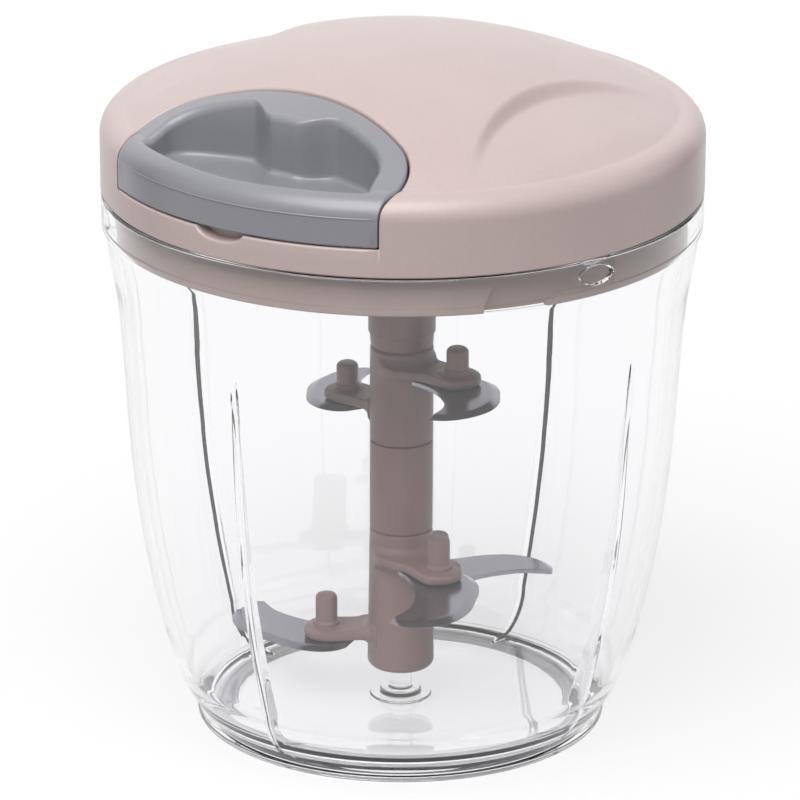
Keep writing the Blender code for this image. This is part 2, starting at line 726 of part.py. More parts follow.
def make_cover():
    cover = cover_form("lid_cover", 0.0, COVER_LOW, PINK, closed=False)
    skin = cover.modifiers.new("wall", "SOLIDIFY")
    skin.thickness = COVER_WALL
    skin.offset = -1.0
    skin.use_even_offset = True
    block = extruded("recess_block", handle_outline(HANDLE_GAP + RECESS_WALL, 1.2 * LID_RADIUS),
                     LEDGE_TOP - RECESS_FLOOR, LID_TOP + RECESS_WALL)
    combine(block, cover_form("recess_limit", COVER_WALL / 2.0, COVER_LOW), "INTERSECT")
    join(cover, block)
    for index, degrees in enumerate(BOSS_AZIMUTHS):
        x, y = azimuth(BOSS_CIRCLE, degrees)
        top = dome_height(*azimuth(BOSS_CIRCLE + BOSS_RADIUS, degrees)) - COVER_WALL * 0.4
        boss = rod(f"screw_boss_{index + 1}", BOSS_RADIUS, (x, y, PLATE_TOP + GAP), (x, y, top), sides=14)
        join(cover, boss)
    boss_top = LID_TOP - COVER_WALL / 2.0
    boss = rod("axle_boss", AXLE_BOSS_RADIUS, (0, 0, AXLE_BOSS_LOW), (0, 0, boss_top), sides=24)
    join(cover, boss)
    cut(cover, *recess_cutters())
    scoop = bmesh.new()
    bmesh.ops.create_uvsphere(scoop, u_segments=20, v_segments=12, radius=1.0)
    shape = Matrix.Diagonal((SCOOP_WIDTH / 2.0, SCOOP_REACH, SCOOP_DEPTH, 1.0))
    bmesh.ops.transform(scoop, matrix=shape, verts=scoop.verts)
    scoop_mesh = bpy.data.meshes.new("ledge_scoop")
    scoop.to_mesh(scoop_mesh)
    scoop.free()
    cut(cover, place(add_object("ledge_scoop", scoop_mesh), y=-LID_RADIUS, z=LEDGE_TOP + 0.1 * MM))
    for index, degrees in enumerate(BOSS_AZIMUTHS):
        x, y = azimuth(BOSS_CIRCLE, degrees)
        top = PLATE_LOW + SCREW_LENGTH + 2.0 * GAP
        hole = rod(f"screw_hole_{index + 1}", SCREW_RADIUS + GAP, (x, y, COVER_LOW), (x, y, top), sides=12)
        cut(cover, hole)
    axle_top = AXLE_BOSS_LOW + AXLE_INSERT + GAP
    axle_low = AXLE_BOSS_LOW - 2.0 * MM
    cut(cover, rod("axle_hole", AXLE_RADIUS + GAP, (0, 0, axle_low), (0, 0, axle_top), sides=20))
    wall_front = -HANDLE_BACK + HANDLE_GAP
    cut(cover, rod("eyelet_hole", EYELET_RADIUS + GAP, (0, wall_front - 2.0 * MM, CORD_LEVEL),
                   (0, wall_front + RECESS_WALL + 2.0 * MM, CORD_LEVEL), sides=16))
    return cover


# The pull handle

def polar_outline(points, centre, angles):
    """Distance from a centre to a closed outline, in each of the given directions."""
    ring = np.array(points + points[:1]) - np.array(centre)
    dense = np.concatenate([np.linspace(a, b, 24, endpoint=False) for a, b in zip(ring[:-1], ring[1:])])
    bearing = np.unwrap(np.arctan2(dense[:, 1], dense[:, 0]))
    order = np.argsort(bearing % math.tau)
    reach = np.hypot(dense[:, 0], dense[:, 1])[order]
    return np.interp(angles % math.tau, (bearing % math.tau)[order], reach, period=math.tau)


def circle_reach(centre, angles, radius):
    """Distance from a point inside a circle about the origin to that circle."""
    along = centre[0] * np.cos(angles) + centre[1] * np.sin(angles)
    return -along + np.sqrt(along ** 2 + radius ** 2 - centre[0] ** 2 - centre[1] ** 2)


def opening_outline():
    """The finger opening seen from above, with the thick middle that hides the knot."""
    side = HANDLE_HALF_WIDTH - HANDLE_SIDE_WALL
    centre = -HANDLE_BACK - HANDLE_BACK_RADIUS
    back_radius = HANDLE_BACK_RADIUS - HANDLE_BACK_WALL
    knot_y = -HANDLE_BACK - HANDLE_KNOT_WALL
    half = KNOT_WALL_HALF_WIDTH
    slope_x = half + KNOT_WALL_SLOPE

    def back(x):
        return centre + math.sqrt(back_radius ** 2 - x ** 2)

    right = [
        (side, -1.2 * LID_RADIUS, 0.0),
        (side, back(side) - 0.6 * MM, 3.0 * MM),
        (0.65 * side, back(0.65 * side), 0.0),
        (slope_x, back(slope_x), 1.6 * MM),
        (half, knot_y + 0.3 * MM, 2.4 * MM),
    ]
    middle = [(0.0, knot_y, 0.0)]
    left = [(-x, y, radius) for x, y, radius in right[::-1]]
    return rounded(right + middle + left, 3)


def make_handle():
    """Carry a wall section, rounded on top, round the handle between its two outlines."""
    centre = (0.0, -HANDLE_BACK - HANDLE_KNOT_WALL - 5.0 * MM)
    angles = np.linspace(0.0, math.tau, HANDLE_STATIONS, endpoint=False) + math.pi / HANDLE_STATIONS
    outer = polar_outline(handle_outline(0.0, 1.2 * LID_RADIUS), centre, angles)
    outer = np.minimum(outer, circle_reach(centre, angles, LID_RADIUS))
    inner = polar_outline(opening_outline(), centre, angles)
    inner = np.minimum(inner, circle_reach(centre, angles, LID_RADIUS - HANDLE_FRONT_WALL))
    low = LEDGE_TOP + GAP
    sections = []
    for angle, far, near in zip(angles, outer, inner):
        direction = np.array((math.cos(angle), math.sin(angle)))

        def spot(reach, height):
            flat = np.array(centre) + direction * reach
            return (flat[0], flat[1], height)

        def top(reach):
            flat = np.array(centre) + direction * reach
            radius = math.hypot(*flat)
            side_top = COVER_LOW + LID_SIDE
            if radius <= DOME_RADIUS:
                share = (radius / DOME_RADIUS) ** 6
                return dome_height(*flat) + share * (side_top + EDGE_RISE - LID_TOP + DOME_FALL)
            sink = min((radius - DOME_RADIUS) / EDGE_INSET, 1.0)
            return side_top + EDGE_RISE * math.sqrt(1.0 - sink * sink)

        edge = HANDLE_TOP_ROUND
        over_rim = math.hypot(*spot(far, low)[:2]) > DOME_RADIUS
        outer_top = top(far - edge) if over_rim else top(far)
        inner_top = top(near)
        sections.append([
            spot(far, low),
            spot(far, outer_top - edge * 1.3),
            spot(far - edge * 0.3, outer_top - edge * 0.4),
            spot(far - edge, outer_top),
            spot((far - edge + near + edge) / 2.0, (outer_top + inner_top) / 2.0 + 0.1 * MM),
            spot(near + edge, inner_top),
            spot(near + edge * 0.3, inner_top - edge * 0.4),
            spot(near, inner_top - edge * 1.3),
            spot(near, low + 1.0 * MM),
            spot(near + 0.8 * MM, low),
        ])
    handle = lofted("pull_handle", sections, GREY)
    back = -HANDLE_BACK
    cut(handle, rod("handle_step", STEP_RADIUS + GAP, (0, 0, COVER_LOW), (0, 0, STEP_TOP + GAP), sides=96))
    pocket_back = back - KNOT_SETBACK
    cut(handle, rod("cord_hole", CORD_RADIUS + 1.5 * GAP, (0, back + 2.0 * MM, CORD_LEVEL),
                    (0, pocket_back - 1.0 * MM, CORD_LEVEL), sides=12))
    reach = KNOT_RADIUS + GAP
    pocket = [
        (reach, pocket_back - 2.0 * reach, 0.8 * MM),
        (reach, pocket_back, 0.8 * MM),
        (-reach, pocket_back, 0.8 * MM),
        (-reach, pocket_back - 2.0 * reach, 0.8 * MM),
    ]
    cut(handle, extruded("knot_pocket", rounded(pocket, 2), low - 2.0 * MM, CORD_LEVEL + reach))
    return handle


def make_knot():
    """The cord's end knot, held in the pocket of the handle's back wall."""
    form = bmesh.new()
    bmesh.ops.create_icosphere(form, subdivisions=2, radius=KNOT_RADIUS)
    mesh = bpy.data.meshes.new("cord_knot")
    form.to_mesh(mesh)
    form.free()
    shade(mesh)
    knot = add_object("cord_knot", mesh, CORD)
    return place(knot, y=-HANDLE_BACK - KNOT_SETBACK - KNOT_RADIUS - GAP, z=CORD_LEVEL)


# The cord and what guides it

def cord_bend():
    """Where the cord turns towards the handle, just inside the eyelet."""
    return -HANDLE_BACK + HANDLE_GAP + RECESS_WALL + GAP + EYELET_FLANGE_THICKNESS + CORD_RADIUS


def tangent_angle():
    """Angle at the reel between the handle's direction and the point where the cord leaves."""
    return math.acos(COIL_RADIUS / -cord_bend())


def make_eyelet():
    front = -HANDLE_BACK + HANDLE_GAP
    flange = front + RECESS_WALL + GAP
    bore = CORD_RADIUS + 2.0 * GAP
    profile = [
        (bore, flange + EYELET_FLANGE_THICKNESS),
        (EYELET_FLANGE, flange + EYELET_FLANGE_THICKNESS),
        (EYELET_FLANGE, flange),
        (EYELET_RADIUS, flange),
        (EYELET_RADIUS, front),
        (bore, front),
    ]
    eyelet = turned("cord_eyelet", profile, STEEL, closed=True, steps=SMALL_TURN_STEPS)
    eyelet.rotation_euler.x = -math.pi / 2.0
    eyelet.location.z = CORD_LEVEL
    return eyelet


def make_cord_lead():
    """The straight cord from the reel through the eyelet to the knot."""
    leave = tangent_angle()
    start = Vector((-math.sin(leave), -math.cos(leave), 0.0)) * COIL_RADIUS
    bend = Vector((0.0, cord_bend(), 0.0))
    back = (start - bend).normalized()
    points = [
        start - back * 4.0 * GAP,
        bend + back * 1.5 * CORD_RADIUS,
        bend + (back + Vector((0.0, -1.0, 0.0))) * 0.4 * CORD_RADIUS,
        bend - Vector((0.0, 1.5 * CORD_RADIUS, 0.0)),
        Vector((0.0, -HANDLE_BACK - KNOT_SETBACK + GAP, 0.0)),
    ]
    lead = tube("cord_lead", points, CORD_RADIUS, CORD)
    return place(lead, z=CORD_LEVEL)


def make_winding():
    """The cord wound on the drum: one unbroken helix that starts where the lead leaves."""
    begin = -math.pi / 2.0 - tangent_angle()
    points = []
    for step in range(int(CORD_TURNS * 24) + 1):
        turn = step / 24.0
        angle = begin - math.tau * turn
        height = CORD_LEVEL - CORD_PITCH * turn
        points.append((COIL_RADIUS * math.cos(angle), COIL_RADIUS * math.sin(angle), height))
    spots = np.array(points)
    apart = [np.linalg.norm(spots[i + 12:] - spots[i], axis=1).min() for i in range(len(spots) - 12)]
    print("least gap between turns of the cord, mm:", round((min(apart) - 2.0 * CORD_RADIUS) / MM, 2))
    winding = tube("cord_winding", points, CORD_RADIUS, CORD)
    winding.data.bevel_resolution = 1
    return winding


# The reel, its spring and the clutch

def make_reel():
    bore = AXLE_RADIUS + GAP
    drum_inner = DRUM_RADIUS - DRUM_WALL
    profile = [
        (FLANGE_RADIUS, REEL_TOP),
        (FLANGE_RADIUS, DRUM_TOP),
        (DRUM_RADIUS, DRUM_TOP),
        (DRUM_RADIUS, WEB_TOP),
        (FLANGE_RADIUS, WEB_TOP),
        (FLANGE_RADIUS, REEL_LOW),
        (bore, REEL_LOW),
        (bore, WEB_TOP + REEL_HUB_HEIGHT),
        (REEL_HUB_RADIUS, WEB_TOP + REEL_HUB_HEIGHT),
        (REEL_HUB_RADIUS, WEB_TOP),
        (drum_inner, WEB_TOP),
        (drum_inner, REEL_TOP),
    ]
    reel = turned("cord_reel", profile, NYLON, closed=True, steps=36)
    for index in range(2):
        x, y = polar(PAWL_CIRCLE, 180.0 * index)
        hole = rod(f"pawl_pin_hole_{index + 1}", PAWL_PIN_RADIUS + GAP,
                   (x, y, REEL_LOW - MM), (x, y, WEB_TOP + MM), sides=12)
        cut(reel, hole)
    return reel


def make_spring():
    """A flat spiral spring between the axle and the inside of the drum."""
    start = AXLE_RADIUS + GAP + SPRING_STRIP
    end = DRUM_RADIUS - DRUM_WALL - GAP - SPRING_STRIP
    low = WEB_TOP + REEL_HUB_HEIGHT + GAP
    count = int(SPRING_TURNS * 18)
    form = bmesh.new()
    rows = []
    for step in range(count + 1):
        share = step / count
        x, y = polar(start + (end - start) * share, -360.0 * SPRING_TURNS * share)
        rows.append((form.verts.new((x, y, low)), form.verts.new((x, y, low + SPRING_HEIGHT))))
    for here, there in zip(rows[:-1], rows[1:]):
        form.faces.new((here[0], there[0], there[1], here[1]))
    mesh = bpy.data.meshes.new("return_spring")
    form.to_mesh(mesh)
    form.free()
    spring = add_object("return_spring", mesh, SPRING_STEEL)
    strip = spring.modifiers.new("strip", "SOLIDIFY")
    strip.thickness = SPRING_STRIP
    strip.offset = 0.0
    return spring


def make_spring_cover():
    hole = AXLE_RADIUS + 2.0 * GAP
    top = SPRING_COVER_LOW + SPRING_COVER_THICKNESS
    profile = [
        (SPRING_COVER_RADIUS, top),
        (SPRING_COVER_RADIUS, SPRING_COVER_LOW),
        (hole, SPRING_COVER_LOW),
        (hole, top),
    ]
    return turned("spring_cover", profile, NYLON, closed=True, steps=28)


def make_axle():
    low = RATCHET_TOP + GAP
    high = AXLE_BOSS_LOW + AXLE_INSERT
    profile = [
        (0.0, high),
        (AXLE_RADIUS, high),
        (AXLE_RADIUS, low),
        (0.0, low),
    ]
    return turned("reel_axle", profile, STEEL, steps=SMALL_TURN_STEPS)


def ratchet_outline():
    """Saw teeth: each rises slowly to its tip and falls steeply."""
    outline = []
    step = 360.0 / RATCHET_TEETH
    for tooth in range(RATCHET_TEETH):
        angle = tooth * step
        outline.append(polar(RATCHET_RADIUS - RATCHET_TOOTH, angle))
        outline.append(polar(RATCHET_RADIUS - RATCHET_TOOTH * 0.5, angle + step * 0.5))
        outline.append(polar(RATCHET_RADIUS, angle + step * 0.96))
    return outline


def make_pawl(index):
    """A hooked lever whose nose rests against a ratchet tooth. Its origin is its pin's axis."""
    nose = RATCHET_RADIUS - RATCHET_TOOTH * 0.35
    reach = PAWL_CIRCLE - nose
    eye = PAWL_EYE
    corners = [
        (eye * 0.9, -eye * 0.6, 0.8 * MM),
        (eye * 0.9, eye * 0.9, 1.2 * MM),
        (-reach * 0.25, eye + 3.6 * MM, 0.8 * MM),
        (-reach * 0.55, eye + 3.4 * MM, 0.3 * MM),
        (-reach * 0.35, eye * 0.4, 1.0 * MM),
        (-eye * 0.75, -eye * 0.7, 0.8 * MM),
    ]
    low = REEL_LOW - GAP - PAWL_HEIGHT
    pawl = extruded(f"pawl_{index + 1}", rounded(corners, 3), 0.0, PAWL_HEIGHT, SPRING_STEEL)
    bore = rod(f"pawl_bore_{index + 1}", PAWL_PIN_RADIUS + GAP, (0, 0, -MM), (0, 0, PAWL_HEIGHT + MM), sides=14)
    cut(pawl, place(bore))
    bore = bpy.data.objects[f"pawl_bore_{index + 1}"]
    x, y = polar(PAWL_CIRCLE, 180.0 * index)
    for item in (pawl, bore):
        place(item, x, y, low, 180.0 * index)
    return pawl


def make_pawl_pin(index):
    low = REEL_LOW - GAP - PAWL_HEIGHT
    shoulder = WEB_TOP + GAP
    profile = [
        (0.0, shoulder + PAWL_PIN_HEAD_HEIGHT),
        (PAWL_PIN_HEAD, shoulder + PAWL_PIN_HEAD_HEIGHT),
        (PAWL_PIN_HEAD, shoulder),
        (PAWL_PIN_RADIUS, shoulder),
        (PAWL_PIN_RADIUS, low),
        (0.0, low),
    ]
    pin = turned(f"pawl_pin_{index + 1}", profile, STEEL, steps=14)
    x, y = polar(PAWL_CIRCLE, 180.0 * index)
    return place(pin, x, y)


# The lid's base, its seal and its screws

def make_base():
    inner = SKIRT_RADIUS - SKIRT_WALL
    tube_outer = BEARING_BORE + BEARING_WALL
    profile = [
        (BEARING_BORE, PLATE_TOP),
        (FLANGE_EDGE, PLATE_TOP),
        (FLANGE_EDGE, PLATE_TOP - BASE_FLANGE),
        (SKIRT_RADIUS, PLATE_TOP - BASE_FLANGE),
        (SKIRT_RADIUS, SKIRT_LOW),
        (inner, SKIRT_LOW),
        (inner, PLATE_LOW),
        (tube_outer, PLATE_LOW),
        (tube_outer, BEARING_LOW),
        (BEARING_BORE, BEARING_LOW),
    ]
    base = turned("lid_base", profile, PINK, closed=True)
    for index in range(LUG_COUNT):
        cut(base, make_slot(index))
    for index, degrees in enumerate(BOSS_AZIMUTHS):
        x, y = azimuth(BOSS_CIRCLE, degrees)
        hole = rod(f"base_screw_hole_{index + 1}", SCREW_RADIUS + GAP,
                   (x, y, PLATE_LOW - MM), (x, y, PLATE_TOP + MM), sides=12)
        cut(base, hole)
    return base


def make_slot(index):
    """A bayonet slot in the skirt: open below at its entry, then level up to the locked place."""
    half_lug = math.degrees(LUG_WIDTH / 2.0 / BOWL_INNER)
    play = math.degrees(LUG_PLAY / BOWL_INNER)
    locked = LUG_AZIMUTH
    entry = locked - SLOT_TURN
    floor = LUG_LEVEL - LUG_HEIGHT / 2.0 - LUG_PLAY
    roof = LUG_LEVEL + LUG_HEIGHT / 2.0 + LUG_PLAY
    below = SKIRT_LOW - MM
    steps = [
        (entry - ENTRY_HALF_ANGLE, below, SKIRT_LOW + 1.5 * MM),
        (entry - half_lug - play, below, roof),
        (entry, below, roof),
        (entry + ENTRY_HALF_ANGLE - 1.4, below, roof),
        (entry + ENTRY_HALF_ANGLE, SKIRT_LOW + 0.4 * MM, roof),
        (entry + ENTRY_HALF_ANGLE + 2.6, floor, roof),
        (locked, floor, roof),
        (locked + half_lug + play, floor, roof),
    ]
    sections = []
    for degrees, low, high in steps:
        near = azimuth(SKIRT_RADIUS - SLOT_DEPTH, degrees)
        far = azimuth(SKIRT_RADIUS + SLOT_DEPTH, degrees)
        sections.append([(*near, low), (*far, low), (*far, high), (*near, high)])
    slot = lofted(f"bayonet_slot_{index + 1}", sections, closed=False)
    return place(slot, degrees=index * 360.0 / LUG_COUNT)


def make_seal():
    top = SEAL_LOW + SEAL_HEIGHT
    inner = SKIRT_RADIUS + GAP
    profile = [
        (FLANGE_EDGE, top),
        (FLANGE_EDGE, SEAL_LOW),
        (inner, SEAL_LOW),
        (inner, top),
    ]
    return turned("lid_seal", profile, SILICONE, closed=True, steps=48)


def make_screw(index):
    shoulder = PLATE_LOW - GAP
    profile = [
        (0.0, shoulder + SCREW_LENGTH - 1.0 * MM),
        (SCREW_RADIUS, shoulder + SCREW_LENGTH - 2.0 * MM),
        (SCREW_RADIUS, shoulder),
        (SCREW_HEAD_RADIUS, shoulder),
        (SCREW_HEAD_RADIUS * 0.8, shoulder - SCREW_HEAD_HEIGHT),
        (0.0, shoulder - SCREW_HEAD_HEIGHT),
    ]
    screw = turned(f"cover_screw_{index + 1}", profile, ZINC, steps=12)
    x, y = azimuth(BOSS_CIRCLE, BOSS_AZIMUTHS[index])
    return place(screw, x, y)


# The drive socket and the blade stem

def hexagon(name, flats, low, high, material=None):
    outline = [polar(flats / math.sqrt(3.0), 60.0 * side + 30.0) for side in range(6)]
    return extruded(name, outline, low, high, material)


def make_socket():
    """The ratchet wheel and the long neck below it, moulded in one, with a hexagon bore."""
    clip_low = BEARING_LOW - GAP - CLIP_THICKNESS
    profile = [
        (0.0, RATCHET_LOW + MM),
        (SOCKET_RADIUS, RATCHET_LOW + MM),
        (SOCKET_RADIUS, clip_low + CLIP_THICKNESS + GAP),
        (SOCKET_RADIUS - CLIP_SEAT, clip_low + CLIP_THICKNESS + GAP),
        (SOCKET_RADIUS - CLIP_SEAT, clip_low - GAP),
        (SOCKET_RADIUS, clip_low - GAP),
        (SOCKET_RADIUS, SOCKET_LOW + SOCKET_COLLAR + SOCKET_GROOVE),
        (SOCKET_RADIUS - SOCKET_GROOVE, SOCKET_LOW + SOCKET_COLLAR),
        (SOCKET_RADIUS - SOCKET_GROOVE, SOCKET_LOW),
        (0.0, SOCKET_LOW),
    ]
    socket = turned("drive_socket", profile, MAUVE, steps=36)
    cut(socket, hexagon("socket_bore", HEX_FLATS + 2.0 * GAP, SOCKET_LOW - MM, CORE_TOP + GAP))
    return join(socket, extruded("ratchet_wheel", ratchet_outline(), RATCHET_LOW, RATCHET_TOP))


def make_clip():
    """A split ring in the socket's groove, which holds the socket up in its bearing."""
    low = BEARING_LOW - GAP - CLIP_THICKNESS
    inner = SOCKET_RADIUS - CLIP_SEAT + GAP
    outline = []
    for step in range(19):
        outline.append(polar(CLIP_OUTER, 20.0 + 320.0 * step / 18))
    for step in range(19):
        outline.append(polar(inner, 340.0 - 320.0 * step / 18))
    return extruded("socket_clip", outline, low, low + CLIP_THICKNESS, SPRING_STEEL)


def make_core():
    return hexagon("stem_core", HEX_FLATS, CORE_LOW, CORE_TOP, MAUVE)


def arm_at(name, angle, low):
    """A flat arm that carries one blade, as a guide that is joined to its hub."""
    arm = extruded(name, rounded(scaled(ARM_OUTLINE), 3), low, low + ARM_THICKNESS)
    arm.rotation_euler.z = math.radians(angle)
    return arm


def peg_hole(name, angle, low, high):
    x, y = PEG_PLACE
    hole = rod(name, PEG_SHANK_RADIUS + GAP, (x, y, low), (x, y, high), sides=12)
    hole.rotation_euler.z = math.radians(angle)
    return hole


def make_hub(name, low, high, foot_radius, angles, heights):
    seam = STEM_SEAM
    profile = [
        (0.0, high),
        (STEM_RADIUS - seam, high),
        (STEM_RADIUS, high - seam),
        (foot_radius, low + seam),
        (foot_radius - seam, low),
        (0.0, low),
    ]
    hub = turned(name, profile, MAUVE, steps=32)
    for index, (angle, height) in enumerate(zip(angles, heights)):
        arm_low = low + height - ARM_THICKNESS
        join(hub, arm_at(f"{name}_arm_{index + 1}", angle, arm_low))
    cut(hub, hexagon(name + "_bore", HEX_FLATS + 2.0 * GAP, max(low - MM, CORE_LOW - GAP), high + MM))
    for index, (angle, height) in enumerate(zip(angles, heights)):
        arm_low = low + height - ARM_THICKNESS
        cut(hub, peg_hole(f"{name}_peg_hole_{index + 1}", angle, arm_low - MM, low + height + MM))
    return hub


def make_lower_hub():
    top = SPACER_LOW - GAP
    hub = make_hub("lower_hub", STEM_LOW, top, STEM_FOOT_RADIUS, LOWER_ARM_ANGLES, LOWER_ARM_HEIGHTS)
    socket = rod("pin_socket", PIN_RADIUS + 2.0 * GAP, (0, 0, STEM_LOW - MM), (0, 0, CORE_LOW), sides=20)
    return cut(hub, socket)


def make_spacer():
    seam = STEM_SEAM
    low = SPACER_LOW
    high = UPPER_HUB_LOW - GAP
    bore = HEX_FLATS / math.sqrt(3.0) + GAP
    profile = [
        (STEM_RADIUS - seam, high),
        (STEM_RADIUS, high - seam),
        (STEM_RADIUS, low + seam),
        (STEM_RADIUS - seam, low),
        (bore, low),
        (bore, high),
    ]
    return turned("stem_spacer", profile, MAUVE, closed=True, steps=32)


def blade_outline(trim):
    """The blade's edge points: concave side and root as they are, convex side as a smooth curve."""
    def drawn_in(points):
        return [(u - trim / MM * max(u - 16.0, 0.0) / 22.0, v) for u, v in points]

    ground = smooth_curve(drawn_in(BLADE_CONVEX + (BLADE_TIP,)), 3)
    plain = smooth_curve(drawn_in((BLADE_TIP,) + BLADE_CONCAVE + BLADE_ROOT[:1]), 3)[1:]
    return scaled(ground), scaled(plain + [BLADE_ROOT[1]])


def make_blade(name, angle, arm_low, trim=0.0):
    """A flat sickle of sheet steel, ground to a slope along its convex edge."""
    ground, plain = blade_outline(trim)
    top = arm_low - GAP
    low = top - BLADE_THICKNESS
    centre = Vector((BLADE_MIDDLE, 0.0))
    inset = []
    for index, spot in enumerate(ground):
        share = min(index / 3.0, (len(ground) - 1 - index) / 2.0, 1.0)
        towards = (centre - Vector(spot)).normalized()
        moved = Vector(spot) + towards * BLADE_EDGE * share
        inset.append((moved.x, moved.y))
    lower = [(x, y, low) for x, y in ground + plain]
    upper = [(x, y, top) for x, y in inset + plain]
    blade = lofted(name, [lower, upper], STEEL, closed=False)
    blade.rotation_euler.z = math.radians(angle)
    cut(blade, peg_hole(name + "_hole", angle, low - MM, top + MM))
    return blade


def make_peg(name, angle, arm_low, rise):
    """A riveted peg: it holds the blade under its arm and stands above it."""
    arm_top = arm_low + ARM_THICKNESS + GAP
    head_top = arm_low - BLADE_THICKNESS - 2.0 * GAP
    profile = [
        (0.0, arm_top + rise),
        (PEG_RADIUS - 0.5 * MM, arm_top + rise),
        (PEG_RADIUS, arm_top + rise - 0.5 * MM),
        (PEG_RADIUS, arm_top),
        (PEG_SHANK_RADIUS, arm_top),
        (PEG_SHANK_RADIUS, head_top),
        (PEG_RADIUS, head_top),
        (PEG_RADIUS, head_top - PEG_HEAD_HEIGHT),
        (0.0, head_top - PEG_HEAD_HEIGHT),
    ]
    peg = turned(name, profile, MAUVE, steps=14)
    spot = Matrix.Rotation(math.radians(angle), 2) @ Vector(PEG_PLACE)
    return place(peg, spot.x, spot.y)


def make_blades():
    sets = (
        ("upper", UPPER_HUB_LOW, UPPER_ARM_ANGLES, UPPER_ARM_HEIGHTS, UPPER_BLADE_TRIM, UPPER_PEG_RISE),
        ("lower", STEM_LOW, LOWER_ARM_ANGLES, LOWER_ARM_HEIGHTS, 0.0, PEG_RISE),
    )
    for label, hub_low, angles, heights, trim, rise in sets:
        for index, (angle, height) in enumerate(zip(angles, heights)):
            arm_low = hub_low + height - ARM_THICKNESS
            make_blade(f"{label}_blade_{index + 1}", angle, arm_low, trim)
            make_peg(f"{label}_blade_peg_{index + 1}", angle, arm_low, rise)


def build():
    make_bowl()
    make_ring()
    make_cover()
    make_base()
    make_seal()
    for index in range(len(BOSS_AZIMUTHS)):
        make_screw(index)
    make_axle()
    make_eyelet()
    make_handle()
    make_knot()
    make_cord_lead()
    make_winding()
    make_reel()
    make_spring()
    make_spring_cover()
    for index in range(2):
        make_pawl(index)
        make_pawl_pin(index)
    make_socket()
    make_clip()
    make_core()
    make_hub("upper_hub", UPPER_HUB_LOW, STEM_TOP, STEM_RADIUS, UPPER_ARM_ANGLES, UPPER_ARM_HEIGHTS)
    make_spacer()
    make_lower_hub()
    make_blades()


build()
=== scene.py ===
"""Looks of the pull-cord food chopper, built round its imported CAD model.

Metres, +Z up, the handle at -Y. Each operator makes one piece or one group of like pieces.
"""

import math

import bmesh
import bpy
import numpy as np
from mathutils import Euler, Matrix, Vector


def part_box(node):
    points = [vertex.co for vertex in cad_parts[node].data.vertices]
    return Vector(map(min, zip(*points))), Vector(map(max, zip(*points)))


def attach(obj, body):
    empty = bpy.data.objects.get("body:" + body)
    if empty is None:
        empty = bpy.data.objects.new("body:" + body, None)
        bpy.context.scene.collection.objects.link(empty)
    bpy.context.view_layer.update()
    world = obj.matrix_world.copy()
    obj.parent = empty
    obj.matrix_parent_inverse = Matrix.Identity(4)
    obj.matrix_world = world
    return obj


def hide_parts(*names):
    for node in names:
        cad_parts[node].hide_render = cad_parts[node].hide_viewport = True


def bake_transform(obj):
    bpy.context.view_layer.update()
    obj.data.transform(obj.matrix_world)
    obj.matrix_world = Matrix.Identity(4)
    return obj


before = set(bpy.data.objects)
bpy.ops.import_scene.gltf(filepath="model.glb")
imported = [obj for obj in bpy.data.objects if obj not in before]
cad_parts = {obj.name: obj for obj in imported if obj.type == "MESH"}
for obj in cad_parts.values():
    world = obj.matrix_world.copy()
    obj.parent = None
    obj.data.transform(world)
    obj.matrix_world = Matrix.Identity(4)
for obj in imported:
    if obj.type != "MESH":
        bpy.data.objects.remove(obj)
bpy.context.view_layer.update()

bl_info = {
    "name": "Food chopper",
    "version": (1, 0, 0),
    "blender": (4, 5, 0),
    "location": "3D View > Sidebar > Chopper",
    "description": "Adds the finished pieces of a pull-cord food chopper and a plain studio",
    "category": "Add Mesh",
}

MM = 0.001
GAP = 0.3 * MM
TURN = 2.0 * math.pi


def low(node):
    """Lowest corner of a CAD node's box."""
    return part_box(node)[0]


def high(node):
    """Highest corner of a CAD node's box."""
    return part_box(node)[1]


def middle_of(node):
    """Middle of a CAD node's box."""
    return (np.array(low(node)) + np.array(high(node))) / 2.0


def length(name, default, description):
    """A size in metres."""
    return bpy.props.FloatProperty(
        name=name, description=description, default=default, unit="LENGTH", precision=5)


def share(name, default, description):
    """A part of a whole."""
    return bpy.props.FloatProperty(
        name=name, description=description, default=default, subtype="FACTOR")


def angle(name, default, description):
    """An angle, given in degrees and kept in radians."""
    return bpy.props.FloatProperty(
        name=name, description=description, default=math.radians(default), subtype="ANGLE")


def count(name, default, description):
    """A whole number of like forms."""
    return bpy.props.IntProperty(name=name, description=description, default=default, min=1)


def linear(code):
    """Scene-linear RGBA of an sRGB hex colour."""
    srgb = np.array([int(code[i:i + 2], 16) for i in (1, 3, 5)]) / 255.0
    flat = np.where(srgb <= 0.04045, srgb / 12.92, ((srgb + 0.055) / 1.055) ** 2.4)
    return (*flat.tolist(), 1.0)


def colour(name, code, description):
    """A colour, given as an sRGB hex value."""
    return bpy.props.FloatVectorProperty(
        name=name, description=description, default=linear(code), size=4, subtype="COLOR",
        min=0.0, max=1.0)


